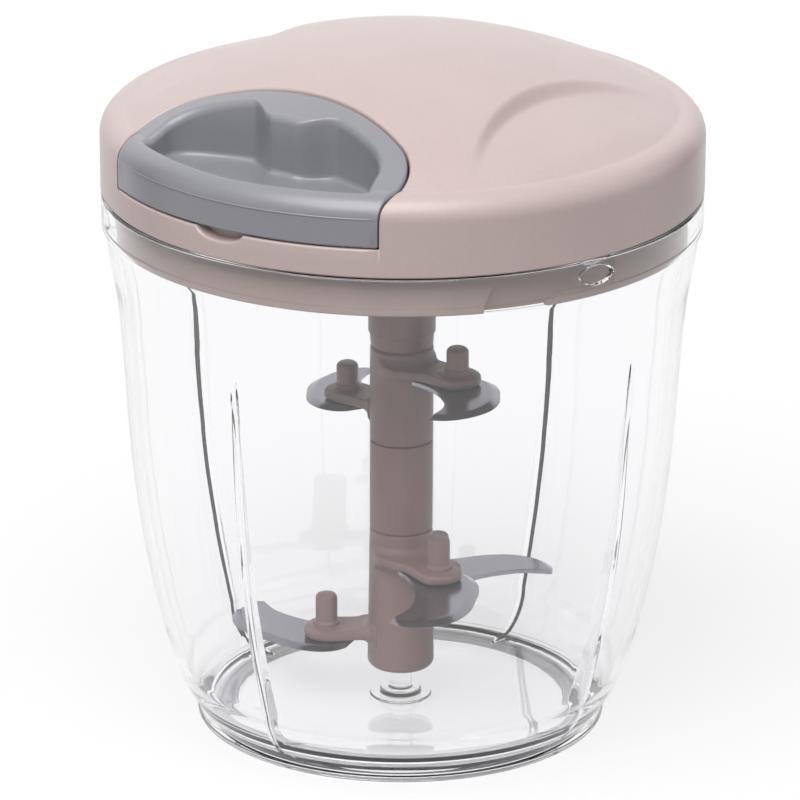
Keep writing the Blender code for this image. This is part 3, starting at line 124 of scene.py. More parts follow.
class BowlSizes(bpy.types.PropertyGroup):
    rim: length("Rim", high("bowl").z, "Height of the bowl's rim")
    band_radius: length("Band radius", high("bowl").x, "Outer radius of the band at the mouth")
    band_low: length("Band edge", 108.4 * MM, "Height of the band's lower edge")
    band_step: length("Band step", 0.6 * MM, "How far the band stands proud of the wall")
    wall: length("Wall", 2.3 * MM, "Thickness of the wall")
    floor: length("Floor", 3.4 * MM, "Height of the floor inside")
    floor_fillet: length("Floor fillet", 9.5 * MM, "Radius of the round between floor and wall")
    foot_radius: length("Foot radius", 42.8 * MM, "Radius of the clear foot")
    foot_low: length("Foot lift", 0.4 * MM, "Height of the foot's underside")
    foot_top: length("Foot top", 1.6 * MM, "Height of the foot's upper edge")
    pin_top: length("Pin top", 14.0 * MM, "Height of the pin that steadies the stem")
    pin_radius: length("Pin radius", 2.4 * MM, "Radius of that pin")
    rib_count: count("Ribs", 4, "Number of ribs on the wall's inside")
    rib_top: length("Rib top", 88.0 * MM, "Height where a rib runs out")
    rib_depth: length("Rib depth", 3.6 * MM, "How far a rib stands into the bowl at the floor")
    rib_width: length("Rib width", 1.4 * MM, "Thickness of a rib")
    lug_azimuth: angle("Lug azimuth", 76.0, "Angle of the first lug from the handle")
    lug_level: length("Lug level", 111.7 * MM, "Height of the lugs' middle")
    lug_width: length("Lug width", 8.6 * MM, "Width of a lug")
    lug_height: length("Lug height", 4.0 * MM, "Height of a lug")
    lug_depth: length("Lug depth", 1.6 * MM, "How far a lug stands into the bowl")


class LidSizes(bpy.types.PropertyGroup):
    radius: length("Radius", high("lid_cover").x, "Outer radius of the lid")
    low: length("Lower edge", low("lid_cover").z, "Height of the cover's lower edge")
    top: length("Top", high("lid_cover").z, "Height of the dome's middle")
    side: length("Side", 11.5 * MM, "Height of the upright side")
    edge_inset: length("Edge inset", 5.4 * MM, "Width of the round between side and dome")
    edge_rise: length("Edge rise", 4.9 * MM, "Height of that round")
    wall: length("Wall", 1.6 * MM, "Thickness of the cover")
    ledge: length("Ledge", 5.9 * MM, "Height of the front ledge above the lower edge")
    step: length("Step", 4.8 * MM, "Height of the recess floor above the ledge")
    step_inset: length("Step inset", 2.7 * MM, "From the side to the drop to the ledge")
    floor: length("Recess floor", 2.2 * MM, "Thickness of the recess floor")
    dent_depth: length("Grip depth", 2.7 * MM, "Depth of the grip hollows")
    dent_radius: length("Grip radius", 61.0 * MM, "Radius of the crescent at each grip hollow")
    dent_edge: length("Grip edge", 31.9 * MM, "Distance of the crescents from the middle")
    dent_width: length("Grip edge width", 2.6 * MM, "Width of the crescent's step")
    dent_fade: length("Grip fade", 20.0 * MM, "Distance over which a hollow runs out to the rim")
    dent_length: length("Grip length", 31.0 * MM, "Half the length of a crescent")
    scoop_width: length("Scoop width", 11.0 * MM, "Width of the fingertip notch in the ledge")
    scoop_reach: length("Scoop reach", 5.0 * MM, "How far the notch runs in from the rim")
    scoop_depth: length("Scoop depth", 2.0 * MM, "Depth of the notch")


class HandleSizes(bpy.types.PropertyGroup):
    half_width: length("Half width", high("pull_handle").x, "Half the width of the handle")
    back: length("Back", -high("pull_handle").y, "Distance of the back from the lid's middle")
    back_radius: length("Back radius", 64.0 * MM, "Radius of the back edge")
    corner: length("Corner", 10.5 * MM, "Radius of the back corners")
    low: length("Lower edge", low("pull_handle").z, "Height of the lip's lower edge")
    front_wall: length("Front wall", 4.8 * MM, "Thickness of the grip")
    side_wall: length("Side wall", 5.0 * MM, "Thickness of the sides at the front")
    side_slant: length("Side slant", 1.6 * MM, "How much thicker the sides are at the back")
    back_wall: length("Back wall", 4.6 * MM, "Thickness of the back")
    knot_wall: length("Knot wall", 9.4 * MM, "Thickness of the back wall where it hides the knot")
    knot_half: length("Knot half width", 2.4 * MM, "Half the width of that thick part")
    knot_slope: length("Knot slope", 8.4 * MM, "Width of its sloped ends")
    round_edge: length("Edge round", 0.9 * MM, "Radius of the outer upper edge")
    inner_edge: length("Inner edge round", 1.6 * MM, "Radius round the finger opening's edge")
    floor: length("Floor", 0.85 * MM, "Thickness of the floor under the finger opening")
    floor_fillet: length("Floor fillet", 1.3 * MM, "Radius between that floor and the walls")
    bead: length("Bead", 0.22 * MM, "How far the parting bead stands out")
    bead_level: length("Bead level", 128.0 * MM, "Height of the parting bead on the grip")
    gap: length("Gap", 0.4 * MM, "Gap between the handle and its recess")


class StemSizes(bpy.types.PropertyGroup):
    socket_radius: length("Socket radius", 7.0 * MM, "Radius of the drive socket's neck")
    radius: length("Radius", 6.6 * MM, "Radius of the stem")
    foot_radius: length("Foot radius", 7.0 * MM, "Radius of the stem at its foot")
    arm: length("Arm", 2.0 * MM, "Thickness of an arm")
    core: length("Core", 8.0 * MM, "Size of the hexagon core across its flats")
    boss_radius: length("Boss radius", 3.3 * MM, "Radius of the round boss at a peg")
    boss_rise: length("Boss rise", 0.25 * MM, "Height of that boss above its arm")
    peg_radius: length("Peg radius", 2.3 * MM, "Radius of a peg")
    blade: length("Blade", 0.9 * MM, "Thickness of a blade")
    edge_width: length("Edge width", 1.9 * MM, "Width of the ground edge")
    trim: length("Upper trim", 6.4 * MM, "How much shorter the upper blades are")


class Colours(bpy.types.PropertyGroup):
    lid: colour("Lid", "#CBB7B4", "Dusty pink plastic of the lid's cover")
    # The lid base is the lid's own pink plastic made darker: painted shade for the shade under the
    # lid's overhang and behind the clear band.
    base: colour("Lid base", "#B8A29B", "Dusty pink plastic of the lid's base")
    handle: colour("Handle", "#8D8D95", "Grey plastic of the handle")
    stem: colour("Stem", "#967875", "Mauve-brown plastic of the stem")
    clear: colour("Bowl", "#FCFCFD", "Tint of the clear bowl")
    ring: colour("Foot ring", "#B9B9BE", "Grey rubber under the bowl")
    seal: colour("Seal", "#E8E6E4", "Silicone seal")
    steel: colour("Steel", "#8F8D97", "Polished stainless steel")
    zinc: colour("Screws", "#BFC0BE", "Zinc-plated screws")
    spring: colour("Spring", "#8B8C91", "Blued spring steel")
    nylon: colour("Reel", "#E4E2DC", "Natural nylon of the reel")
    cord: colour("Cord", "#B7B7BA", "Braided cord")
    floor: colour("Floor", "#FEFEFE", "Studio floor")
    flag: colour("Flag", "#3A393C", "Dark cloth of the cards beside the bowl")


class CameraSizes(bpy.types.PropertyGroup):
    azimuth: angle("Azimuth", 36.0, "Angle of the camera round the object from -Y towards +X")
    distance: length("Distance", 1187.9 * MM, "Level distance from the bowl's middle")
    height: length("Height", 497.0 * MM, "Height of the camera")
    pitch: angle("Pitch", 19.835, "How far the camera looks down")
    yaw: angle("Yaw", 0.017, "How far the camera looks to the left of the middle")
    roll: angle("Roll", 0.23, "Tilt of the camera about its own view")
    lens: bpy.props.FloatProperty(
        name="Lens", description="Focal length of the camera", default=273.33, unit="CAMERA")


class LightSizes(bpy.types.PropertyGroup):
    energy: bpy.props.FloatProperty(name="Energy", description="Strength of the lamp", default=2.25)
    softness: angle("Softness", 50.0, "Apparent size of the lamp")
    tilt: angle("Tilt", 29.0, "Angle of the lamp from straight above")
    side: angle("Side", 20.0, "How far the lamp stands to the left of the camera")
    zenith: share("Zenith", 0.62, "Strength of the dome overhead")
    horizon: share("Horizon", 0.1, "Strength of the dome at the horizon")
    floor_glow: share("Floor glow", 0.7, "Share of the seen floor that is plain white")
    flag_distance: length("Flag distance", 400.0 * MM, "Distance of the dark cards from the middle")
    flag_half: angle("Flag half width", 9.0, "Half the angle that a card takes up")
    flag_height: length("Flag height", 420.0 * MM, "Height of the cards")


GROUPS = {
    "chopper_bowl": BowlSizes,
    "chopper_lid": LidSizes,
    "chopper_handle": HandleSizes,
    "chopper_stem": StemSizes,
    "chopper_colours": Colours,
    "chopper_camera": CameraSizes,
    "chopper_light": LightSizes,
}


# Meshes from grids

def smooth(x):
    """Rises from 0 to 1 as x does, level at both ends."""
    x = np.clip(x, 0.0, 1.0)
    return x * x * (3.0 - 2.0 * x)


def quarter(steps):
    """Angles of a quarter turn in even steps, from 0 to a right angle."""
    return np.radians(np.linspace(0.0, 90.0, steps + 1))


def quarter_round(steps):
    """A quarter round of radius 1 in even steps, as (across, down) pairs, (0, 1) to (1, 0)."""
    return [(1.0 - math.cos(turn), 1.0 - math.sin(turn)) for turn in quarter(steps)]


def grid_faces(rows, columns, around=True, along=False, start=0):
    """Quads of a grid of points numbered row by row; around closes each row, along closes each
    column."""
    index = np.arange(rows * columns).reshape(rows, columns) + start
    if along:
        index = np.vstack([index, index[:1]])
    if around:
        index = np.hstack([index, index[:, :1]])
    corners = [index[:-1, :-1], index[:-1, 1:], index[1:, 1:], index[1:, :-1]]
    return np.stack(corners, axis=-1).reshape(-1, 4)


def merged_mesh(name, grids, sharp=32.0, merge=0.0006 * MM):
    """One mesh of several grids of points, each (points, around, along): doubles are merged,
    faces turned outwards, and edges sharper than an angle are kept crisp."""
    places, quads, start = [], [], 0
    for points, around, along in grids:
        places.append(points.reshape(-1, 3))
        quads.append(grid_faces(*points.shape[:2], around, along, start))
        start += len(places[-1])
    places, quads = np.vstack(places), np.vstack(quads)
    mesh = bpy.data.meshes.new(name)
    mesh.vertices.add(len(places))
    mesh.vertices.foreach_set("co", places.astype(np.float32).ravel())
    mesh.loops.add(quads.size)
    mesh.loops.foreach_set("vertex_index", quads.astype(np.int32).ravel())
    mesh.polygons.add(len(quads))
    mesh.polygons.foreach_set("loop_start", np.arange(0, quads.size, 4, dtype=np.int32))
    mesh.update(calc_edges=True)
    form = bmesh.new()
    form.from_mesh(mesh)
    bmesh.ops.remove_doubles(form, verts=form.verts, dist=merge)
    bmesh.ops.recalc_face_normals(form, faces=form.faces)
    form.to_mesh(mesh)
    form.free()
    mesh.shade_smooth()
    mesh.set_sharp_from_angle(angle=math.radians(sharp))
    return mesh


def add_piece(name, mesh, material, body, nodes):
    """Link a finished mesh at the origin, with its finish, its body and the nodes it
    stands for. A piece without a body is left unattached."""
    if not mesh.polygons:
        raise RuntimeError(f"{name} has no faces")
    piece = bpy.data.objects.new(name, mesh)
    bpy.context.scene.collection.objects.link(piece)
    mesh.materials.clear()
    mesh.materials.append(material)
    if body is not None:
        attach(piece, body)
    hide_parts(*nodes)
    return piece


def revolved(profile, angles):
    """Grid of a profile turned about Z: each (radius, height) of the profile becomes a ring. A
    profile may also be three-dimensional, with one radius and height for each angle."""
    profile = np.asarray(profile, dtype=float)
    if profile.ndim == 2:
        profile = np.repeat(profile[:, None, :], len(angles), axis=1)
    radius, height = profile[..., 0], profile[..., 1]
    return np.stack([radius * np.cos(angles), radius * np.sin(angles), height], axis=-1)


def ring(angles, radius, height):
    """One ring of such a profile: a radius and a height for each angle, from numbers or whole
    arrays."""
    return np.stack(np.broadcast_arrays(0.0 * angles + radius, height), axis=-1)


def even_angles(steps):
    """Evenly spaced angles round a turn."""
    return np.arange(steps) * TURN / steps


def dense_angles(base, centres, half, spacing):
    """Angles round a turn, base degrees apart, with closer ones within half degrees of each
    centre."""
    found = [np.arange(0.0, 360.0, base)]
    for centre in centres:
        found.append(centre + np.arange(-half, half + spacing / 2.0, spacing))
    return np.radians(np.unique(np.round(np.concatenate(found) % 360.0, 4)))


def rounded_profile(corners, steps=6):
    """Points of a profile from (radius, height, round) corners, each corner replaced by an arc
    that touches both of its sides; a corner with no round stays as it is."""
    out = []
    for i, (x, y, radius) in enumerate(corners):
        here = np.array([x, y])
        if radius <= 0.0 or i in (0, len(corners) - 1):
            out.append(here)
            continue
        before = np.array(corners[i - 1][:2]) - here
        after = np.array(corners[i + 1][:2]) - here
        before = before / np.hypot(*before)
        after = after / np.hypot(*after)
        half = math.acos(np.clip(before @ after, -1.0, 1.0)) / 2.0
        middle = before + after
        centre = here + middle / np.hypot(*middle) * radius / math.sin(half)
        start = here + before * radius / math.tan(half) - centre
        end = here + after * radius / math.tan(half) - centre
        sweep = math.atan2(start[0] * end[1] - start[1] * end[0], start @ end)
        for turn in np.linspace(0.0, sweep, steps + 1):
            out.append(centre + np.array([
                start[0] * math.cos(turn) - start[1] * math.sin(turn),
                start[0] * math.sin(turn) + start[1] * math.cos(turn)]))
    return np.array(out)


def held(profile, longest=1.5 * MM, hold=0.12 * MM):
    """The profile with an extra point close to both ends of each long straight, which keeps it
    flat to the eye: the round corners' slopes then don't spread over it."""
    out = [profile[:1]]
    for start, end in zip(profile[:-1], profile[1:]):
        size = np.hypot(*(end - start))
        if size > longest:
            along = (end - start) / size * hold
            out.append(np.stack([start + along, end - along]))
        out.append(end[None])
    return np.vstack(out)


def spline(knots, values, where):
    """Cubic curve through knots, with slopes from the neighbours on each side of a knot."""
    knots, values = np.asarray(knots, float), np.asarray(values, float)
    slopes = np.gradient(values, knots)
    i = np.clip(np.searchsorted(knots, where) - 1, 0, len(knots) - 2)
    width = knots[i + 1] - knots[i]
    t = (where - knots[i]) / width
    return ((2 * t ** 3 - 3 * t ** 2 + 1) * values[i]
            + (t ** 3 - 2 * t ** 2 + t) * width * slopes[i]
            + (3 * t ** 2 - 2 * t ** 3) * values[i + 1]
            + (t ** 3 - t ** 2) * width * slopes[i + 1])


# Materials

def add_node(tree, kind, inputs=None, **settings):
    """Add a node, set its settings, and give its inputs values or links from other nodes'
    outputs."""
    node = tree.nodes.new(kind)
    for name, value in settings.items():
        setattr(node, name, value)
    for name, value in (inputs or {}).items():
        if isinstance(value, bpy.types.NodeSocket):
            tree.links.new(value, node.inputs[name])
        else:
            node.inputs[name].default_value = value
    return node


def new_material(name):
    """An empty node material, its tree, and its Object coordinates in metres."""
    material = bpy.data.materials.new(name)
    material.use_nodes = True
    tree = material.node_tree
    tree.nodes.clear()
    place = add_node(tree, "ShaderNodeTexCoord").outputs["Object"]
    return material, tree, place


def finish_material(tree, shader):
    """Link a shader to the output of its material."""
    add_node(tree, "ShaderNodeOutputMaterial", {"Surface": shader})


def varied(tree, place, tone, size, spread, detail=3.0):
    """The tone made lighter and darker by a share, in soft clouds of a size in metres."""
    cloud = add_node(tree, "ShaderNodeTexNoise", {
        "Vector": place, "Scale": 1.0 / size, "Detail": detail})
    ramp = add_node(tree, "ShaderNodeMapRange", {
        "Value": cloud.outputs["Fac"], "From Min": 0.3, "From Max": 0.7,
        "To Min": 1.0 - spread, "To Max": 1.0 + spread})
    mixed = add_node(tree, "ShaderNodeMix", {"Factor": 1.0, "A": tone, "B": ramp.outputs["Result"]},
                     data_type="RGBA", blend_type="MULTIPLY")
    return mixed.outputs["Result"]


def uneven(tree, place, size, detail, strength, depth):
    """Normals of a skin that soft clouds of a size raise and sink by a depth."""
    cloud = add_node(tree, "ShaderNodeTexNoise", {
        "Vector": place, "Scale": 1.0 / size, "Detail": detail})
    bump = add_node(tree, "ShaderNodeBump", {
        "Height": cloud.outputs["Fac"], "Strength": strength, "Distance": depth})
    return bump.outputs["Normal"]


def moulded_plastic(name, tone, roughness, gloss=0.0):
    """Moulded plastic: an even colour with faint flow clouds, and a fine spark-eroded grain
    that breaks up the highlights and leaves them soft. Gloss is the share of a polished skin,
    which whitens flat views."""
    material, tree, place = new_material(name)
    base = varied(tree, place, tone, 24.0 * MM, 0.022)
    flecks = varied(tree, place, base, 0.9 * MM, 0.018, 1.0)
    rub = add_node(tree, "ShaderNodeTexNoise", {
        "Vector": place, "Scale": 1.0 / (9.0 * MM), "Detail": 4.0})
    rough = add_node(tree, "ShaderNodeMapRange", {
        "Value": rub.outputs["Fac"], "From Min": 0.3, "From Max": 0.7,
        "To Min": roughness - 0.04, "To Max": roughness + 0.05})
    shader = add_node(tree, "ShaderNodeBsdfPrincipled", {
        "Base Color": flecks, "Roughness": rough.outputs["Result"], "IOR": 1.5,
        "Coat Weight": gloss, "Coat Roughness": roughness,
        "Normal": uneven(tree, place, 0.35 * MM, 2.0, 0.35, 0.012 * MM)})
    finish_material(tree, shader.outputs["BSDF"])
    return material


def clear_styrene(name, tone):
    """Clear SAN plastic, injection moulded: bends light like glass, with faint flow waves in
    the surface. Lamps shine through it, so what stands inside is lit and the bowl throws only a
    pale shadow."""
    material, tree, place = new_material(name)
    shader = add_node(tree, "ShaderNodeBsdfPrincipled", {
        "Base Color": tone, "Roughness": 0.0, "IOR": 1.57, "Transmission Weight": 1.0,
        "Normal": uneven(tree, place, 14.0 * MM, 1.0, 0.25, 0.05 * MM)})
    passing = add_node(tree, "ShaderNodeBsdfTransparent", {"Color": tone})
    ray = add_node(tree, "ShaderNodeLightPath")
    both = add_node(tree, "ShaderNodeMixShader", {
        0: ray.outputs["Is Shadow Ray"], 1: shader.outputs["BSDF"], 2: passing.outputs["BSDF"]})
    finish_material(tree, both.outputs["Shader"])
    return material


def rubber(name, tone, roughness):
    """Moulded thermoplastic rubber or silicone: matt, with a fine orange-peel skin and a soft
    sheen."""
    material, tree, place = new_material(name)
    shader = add_node(tree, "ShaderNodeBsdfPrincipled", {
        "Base Color": varied(tree, place, tone, 6.0 * MM, 0.03), "Roughness": roughness,
        "IOR": 1.45, "Sheen Weight": 0.2,
        "Normal": uneven(tree, place, 0.5 * MM, 3.0, 0.4, 0.03 * MM)})
    finish_material(tree, shader.outputs["BSDF"])
    return material


def brushed_metal(name, tone, roughness):
    """Metal with fine lines of grinding along X, drawn half a millimetre apart so that they
    show: they smear the reflections across the lines and vary the gloss."""
    material, tree, place = new_material(name)
    drawn = add_node(tree, "ShaderNodeMapping", {"Vector": place, "Scale": (0.06, 1.0, 1.0)})
    lines = add_node(tree, "ShaderNodeTexNoise", {
        "Vector": drawn.outputs["Vector"], "Scale": 1.0 / (0.5 * MM), "Detail": 4.0})
    bump = add_node(tree, "ShaderNodeBump", {
        "Height": lines.outputs["Fac"], "Strength": 0.3, "Distance": 0.01 * MM})
    rough = add_node(tree, "ShaderNodeMapRange", {
        "Value": lines.outputs["Fac"], "From Min": 0.3, "From Max": 0.7,
        "To Min": roughness * 0.75, "To Max": roughness * 1.3})
    shader = add_node(tree, "ShaderNodeBsdfPrincipled", {
        "Base Color": varied(tree, place, tone, 12.0 * MM, 0.03), "Metallic": 1.0,
        "Roughness": rough.outputs["Result"], "Normal": bump.outputs["Normal"]})
    finish_material(tree, shader.outputs["BSDF"])
    return material


def braided_cord(name, tone):
    """Braided nylon cord: two crossed sets of strands 0.6 mm apart, matt, with painted shade
    darkening the gaps between them."""
    material, tree, place = new_material(name)
    braid = []
    for side in (1.0, -1.0):
        turned = add_node(tree, "ShaderNodeMapping", {
            "Vector": place, "Rotation": (0.6 * side, 0.0, 0.7 * side)})
        wave = add_node(tree, "ShaderNodeTexWave", {
            "Vector": turned.outputs["Vector"], "Scale": 1.0 / (1.2 * MM) / math.pi,
            "Distortion": 0.6})
        braid.append(wave.outputs["Fac"])
    cross = add_node(tree, "ShaderNodeMath", {0: braid[0], 1: braid[1]}, operation="MULTIPLY")
    # Painted shade: the colour is darkened where the strands part
    shade = add_node(tree, "ShaderNodeMapRange", {
        "Value": cross.outputs["Value"], "From Min": 0.0, "From Max": 0.6,
        "To Min": 0.65, "To Max": 1.0})
    base = add_node(tree, "ShaderNodeMix", {"Factor": 1.0, "A": tone, "B": shade.outputs["Result"]},
                    data_type="RGBA", blend_type="MULTIPLY")
    bump = add_node(tree, "ShaderNodeBump", {
        "Height": cross.outputs["Value"], "Strength": 0.7, "Distance": 0.1 * MM})
    shader = add_node(tree, "ShaderNodeBsdfPrincipled", {
        "Base Color": base.outputs["Result"], "Roughness": 0.8, "Sheen Weight": 0.3,
        "Normal": bump.outputs["Normal"]})
    finish_material(tree, shader.outputs["BSDF"])
    return material


# For each finish: how it is made, its colour, its roughness and its gloss
FINISHES = {
    "satin_polypropylene_pink": (moulded_plastic, "lid", 0.42, 1.0),
    # The same pink plastic as the cover, with painted shade in its darker colour
    "satin_polypropylene_pink_painted_shade": (moulded_plastic, "base", 0.42),
    "satin_abs_grey": (moulded_plastic, "handle", 0.36, 1.0),
    "satin_abs_mauve": (moulded_plastic, "stem", 0.4),
    "natural_nylon": (moulded_plastic, "nylon", 0.5),
    "clear_san": (clear_styrene, "clear"),
    "grey_rubber": (rubber, "ring", 0.62),
    "white_silicone": (rubber, "seal", 0.5),
    "polished_stainless_steel": (brushed_metal, "steel", 0.2),
    "zinc_plated_steel": (brushed_metal, "zinc", 0.34),
    "spring_steel": (brushed_metal, "spring", 0.3),
    "braided_nylon_cord": (braided_cord, "cord"),
}


def finish(name):
    """A material by its name, made once."""
    found = bpy.data.materials.get(name)
    if found is not None:
        return found
    maker, tone, *values = FINISHES[name]
    return maker(name, getattr(bpy.context.scene.chopper_colours, tone), *values)


# The bowl

# The wall's outline: shares of its height, and how far it lies inside the band there
WALL_SHARES = (0.0, 0.06, 0.18, 0.34, 0.52, 0.72, 0.86, 0.95, 1.0)
WALL_DROPS = np.array((20.5, 16.2, 11.9, 8.2, 5.7, 4.2, 2.9, 1.3, 0.6)) * MM
UNDERSIDE = 1.4 * MM            # height of the middle of the bowl's underside
GROOVE_TOP = 1.8 * MM           # groove that holds the anti-slip ring
GROOVE_INNER = 34.5 * MM
GROOVE_OUTER = 40.6 * MM
DISC_RADIUS = 6.4 * MM          # low disc on the floor under the pin
DISC_HEIGHT = 0.35 * MM
BOSS_RADIUS = 4.35 * MM         # boss on that disc, at the pin's foot
BOSS_HEIGHT = 1.5 * MM
RIB_INSET = 12.0 * MM           # the ribs' width is taken this far inside the band
RIBS_FROM = 25.0 * MM           # radius at which the ribs start to rise from the floor
RIBS_OVER = 8.0 * MM            # width over which they do
LUG_COUNT = 3
BAYONET_TURN = 17.5             # degrees from where a lug enters to where it is locked
HANDLE_BEARING = -90.0          # degrees from +X to the handle


def wall_outer(size, height):
    """Outer radius of the wall: a cubic through its drops from the band's radius."""
    span = size.band_low - size.foot_top
    return size.band_radius - spline(WALL_SHARES, WALL_DROPS, (height - size.foot_top) / span)


def rib_profile(size, height, degrees):
    """Height of the ribs above the inner wall: deepest at the floor, run out at the top, round
    at the tip."""
    run = np.clip((size.rib_top - height) / (size.rib_top - size.floor), 0.0, 1.0)
    rise = run ** 0.7 * size.rib_depth
    step = 360.0 / size.rib_count
    off = np.abs((degrees + step / 2.0) % step - step / 2.0)
    across = np.radians(off) * (size.band_radius - RIB_INSET)
    return rise * (1.0 - smooth((across - 0.25 * size.rib_width) / (0.4 * size.rib_width)))


def first_lug(size):
    """Bearing of the first lug in degrees from +X."""
    return math.degrees(size.lug_azimuth) + HANDLE_BEARING


def lug_profile(size, height, degrees):
    """Height of the three oval lugs above the inner band: flat, with a narrow round edge."""
    step = 360.0 / LUG_COUNT
    off = (degrees - first_lug(size) + step / 2.0) % step - step / 2.0
    across = np.radians(off) * (size.band_radius - size.wall) / (size.lug_width / 2.0)
    reach = np.hypot(across, (height - size.lug_level) / (size.lug_height / 2.0))
    return size.lug_depth * (1.0 - smooth((reach - 0.86) / 0.16))


def bowl_outside(size):
    """Profile from the middle of the underside out round the foot, up the wall and over the
    rim."""
    wall_low = wall_outer(size, size.foot_top)
    under = rounded_profile([
        (0.0, UNDERSIDE, 0.0),
        (GROOVE_INNER, UNDERSIDE, 0.1 * MM),
        (GROOVE_INNER, GROOVE_TOP, 0.1 * MM),
        (GROOVE_OUTER, GROOVE_TOP, 0.1 * MM),
        (GROOVE_OUTER, size.foot_low, 0.15 * MM),
        (size.foot_radius, size.foot_low, 0.5 * MM),
        (size.foot_radius, size.foot_top, 0.4 * MM),
        (wall_low, size.foot_top + 0.2 * MM, 0.0),
    ], 4)
    shoulder = size.band_low - 12.0 * MM
    heights = np.concatenate([
        np.linspace(size.foot_top + 0.9 * MM, shoulder, 44, endpoint=False),
        np.linspace(shoulder, size.band_low - 0.4 * MM, 14)])
    wall = np.stack([wall_outer(size, heights), heights], axis=-1)
    inner = size.band_radius - size.wall
    band = rounded_profile([
        (wall[-1, 0], wall[-1, 1], 0.0),
        (size.band_radius - size.band_step, size.band_low, 0.2 * MM),
        (size.band_radius, size.band_low + 0.1 * MM, 0.12 * MM),
        (size.band_radius, size.rim, 0.6 * MM),
        (inner, size.rim, 0.5 * MM),
        (inner, size.lug_level + size.lug_height, 0.0),
    ], 5)[1:]
    return np.vstack([held(under), wall, held(band)])


def bowl_inside(size):
    """Profile from the lugs down the wall's inside, round the floor's fillet and up to the
    pin's top."""
    inner = size.band_radius - size.wall
    lug_reach = size.lug_height * 0.72
    wall_top = size.rib_top + 3.0 * MM
    down = np.concatenate([
        np.arange(size.lug_level + lug_reach, size.lug_level - lug_reach, -0.16 * MM),
        np.linspace(size.band_low, wall_top, 10, endpoint=False),
        np.linspace(wall_top, size.floor + size.floor_fillet, 46)])
    reach = np.minimum(wall_outer(size, np.minimum(down, size.band_low)) - size.wall, inner)
    wall = np.stack([reach, down], axis=-1)
    turn = quarter(13)[1:]
    fillet = np.stack([reach[-1] - size.floor_fillet * (1.0 - np.cos(turn)),
                       size.floor + size.floor_fillet * (1.0 - np.sin(turn))], axis=-1)
    disc, boss = size.floor + DISC_HEIGHT, size.floor + BOSS_HEIGHT
    floor = rounded_profile([
        (fillet[-1, 0], size.floor, 0.0),
        (DISC_RADIUS, size.floor, 0.2 * MM),
        (DISC_RADIUS, disc, 0.15 * MM),
        (BOSS_RADIUS, disc, 0.2 * MM),
        (BOSS_RADIUS, boss, 0.4 * MM),
        (size.pin_radius, boss, 0.3 * MM),
        (size.pin_radius, size.pin_top, size.pin_radius * 0.92),
        (0.0, size.pin_top, 0.0),
    ], 5)[1:]
    return np.vstack([wall, fillet, held(np.vstack([fillet[-1:], floor]))[1:]])


def make_bowl(size):
    """The clear bowl: its profile turned about Z. Ribs and lugs are the inner wall moved
    inwards."""
    ribs = [index * 360.0 / size.rib_count for index in range(size.rib_count)]
    lugs = [first_lug(size) + 360.0 / LUG_COUNT * index for index in range(LUG_COUNT)]
    angles = np.unique(np.concatenate([
        dense_angles(1.5, ribs, 1.8, 0.15), dense_angles(1.5, lugs, 4.8, 0.28)]))
    outside, inside = (np.repeat(part[:, None, :], len(angles), axis=1)
                       for part in (bowl_outside(size), bowl_inside(size)))
    degrees = np.degrees(angles)[None, :]
    radius, height = inside[..., 0], inside[..., 1]
    far_out = smooth((radius - RIBS_FROM) / RIBS_OVER)
    inwards = rib_profile(size, height, degrees) * far_out + lug_profile(size, height, degrees)
    inside[..., 0] = radius - inwards
    rings = np.concatenate([outside, inside])
    return merged_mesh("bowl_form", [(revolved(rings, angles), True, False)])


def make_foot_ring():
    """The anti-slip ring: a flat band turned about Z that stands on two low beads."""
    inner, outer, top = 34.8 * MM, high("antislip_ring").x, high("antislip_ring").z
    lift = 0.25 * MM
    profile = rounded_profile([
        (inner, top / 2.0, 0.0), (inner, 0.0, 0.4 * MM), (inner + 2.2 * MM, 0.0, 0.0),
        (inner + 2.5 * MM, lift, 0.1 * MM), (outer - 2.5 * MM, lift, 0.1 * MM),
        (outer - 2.2 * MM, 0.0, 0.0), (outer, 0.0, 0.4 * MM), (outer, top, 0.3 * MM),
        (inner, top, 0.3 * MM), (inner, top / 2.0, 0.0)], 4)
    return merged_mesh("antislip_ring_form", [(revolved(profile, even_angles(192)), True, True)])


class CHOPPER_OT_bowl(bpy.types.Operator):
    """Add the clear bowl with its ribs, bayonet lugs and centring pin"""
    bl_idname = "chopper.bowl"
    bl_label = "Bowl"

    def execute(self, context):
        mesh = make_bowl(context.scene.chopper_bowl)
        add_piece("clear_bowl", mesh, finish("clear_san"), "base", ["bowl"])
        return {"FINISHED"}


class CHOPPER_OT_ring(bpy.types.Operator):
    """Add the anti-slip ring in the groove under the bowl"""
    bl_idname = "chopper.ring"
    bl_label = "Anti-slip ring"

    def execute(self, context):
        mesh, grey = make_foot_ring(), finish("grey_rubber")
        add_piece("rubber_foot_ring", mesh, grey, "base", ["antislip_ring"])
        return {"FINISHED"}


# The lid

RECESS_MIDDLE = -46.0 * MM      # Y of the middle of the recess: rays from it carry its rows
GRIP_SHIFT = 3.0 * MM           # the grip hollows' middle lies this far towards the handle
GRIP_CALM = 9.0 * MM            # the hollows run out over this width inside the rim
RECESS_WALL = 2.0 * MM          # thickness of the recess's wall, with its gap
RECESS_EDGE = 0.6 * MM          # round along its upper edge
LEDGE_EDGE = 0.5 * MM           # round along the front ledge
LOWER_BEVEL = 0.3 * MM          # bevel at the cover's lower edge
CORNER_SHARE = 0.7              # share of a side over which the recess's wall meets the front's
CEILING_SHARE = 0.97            # the ceiling is the lid's outside drawn in to this share
FLOOR_SHARES = np.linspace(0.0, 1.0, 7)
WALL_STEPS = np.linspace(0.0, 1.0, 6)[1:]
ROOF_SHARES = np.linspace(0.0, 1.0, 36)


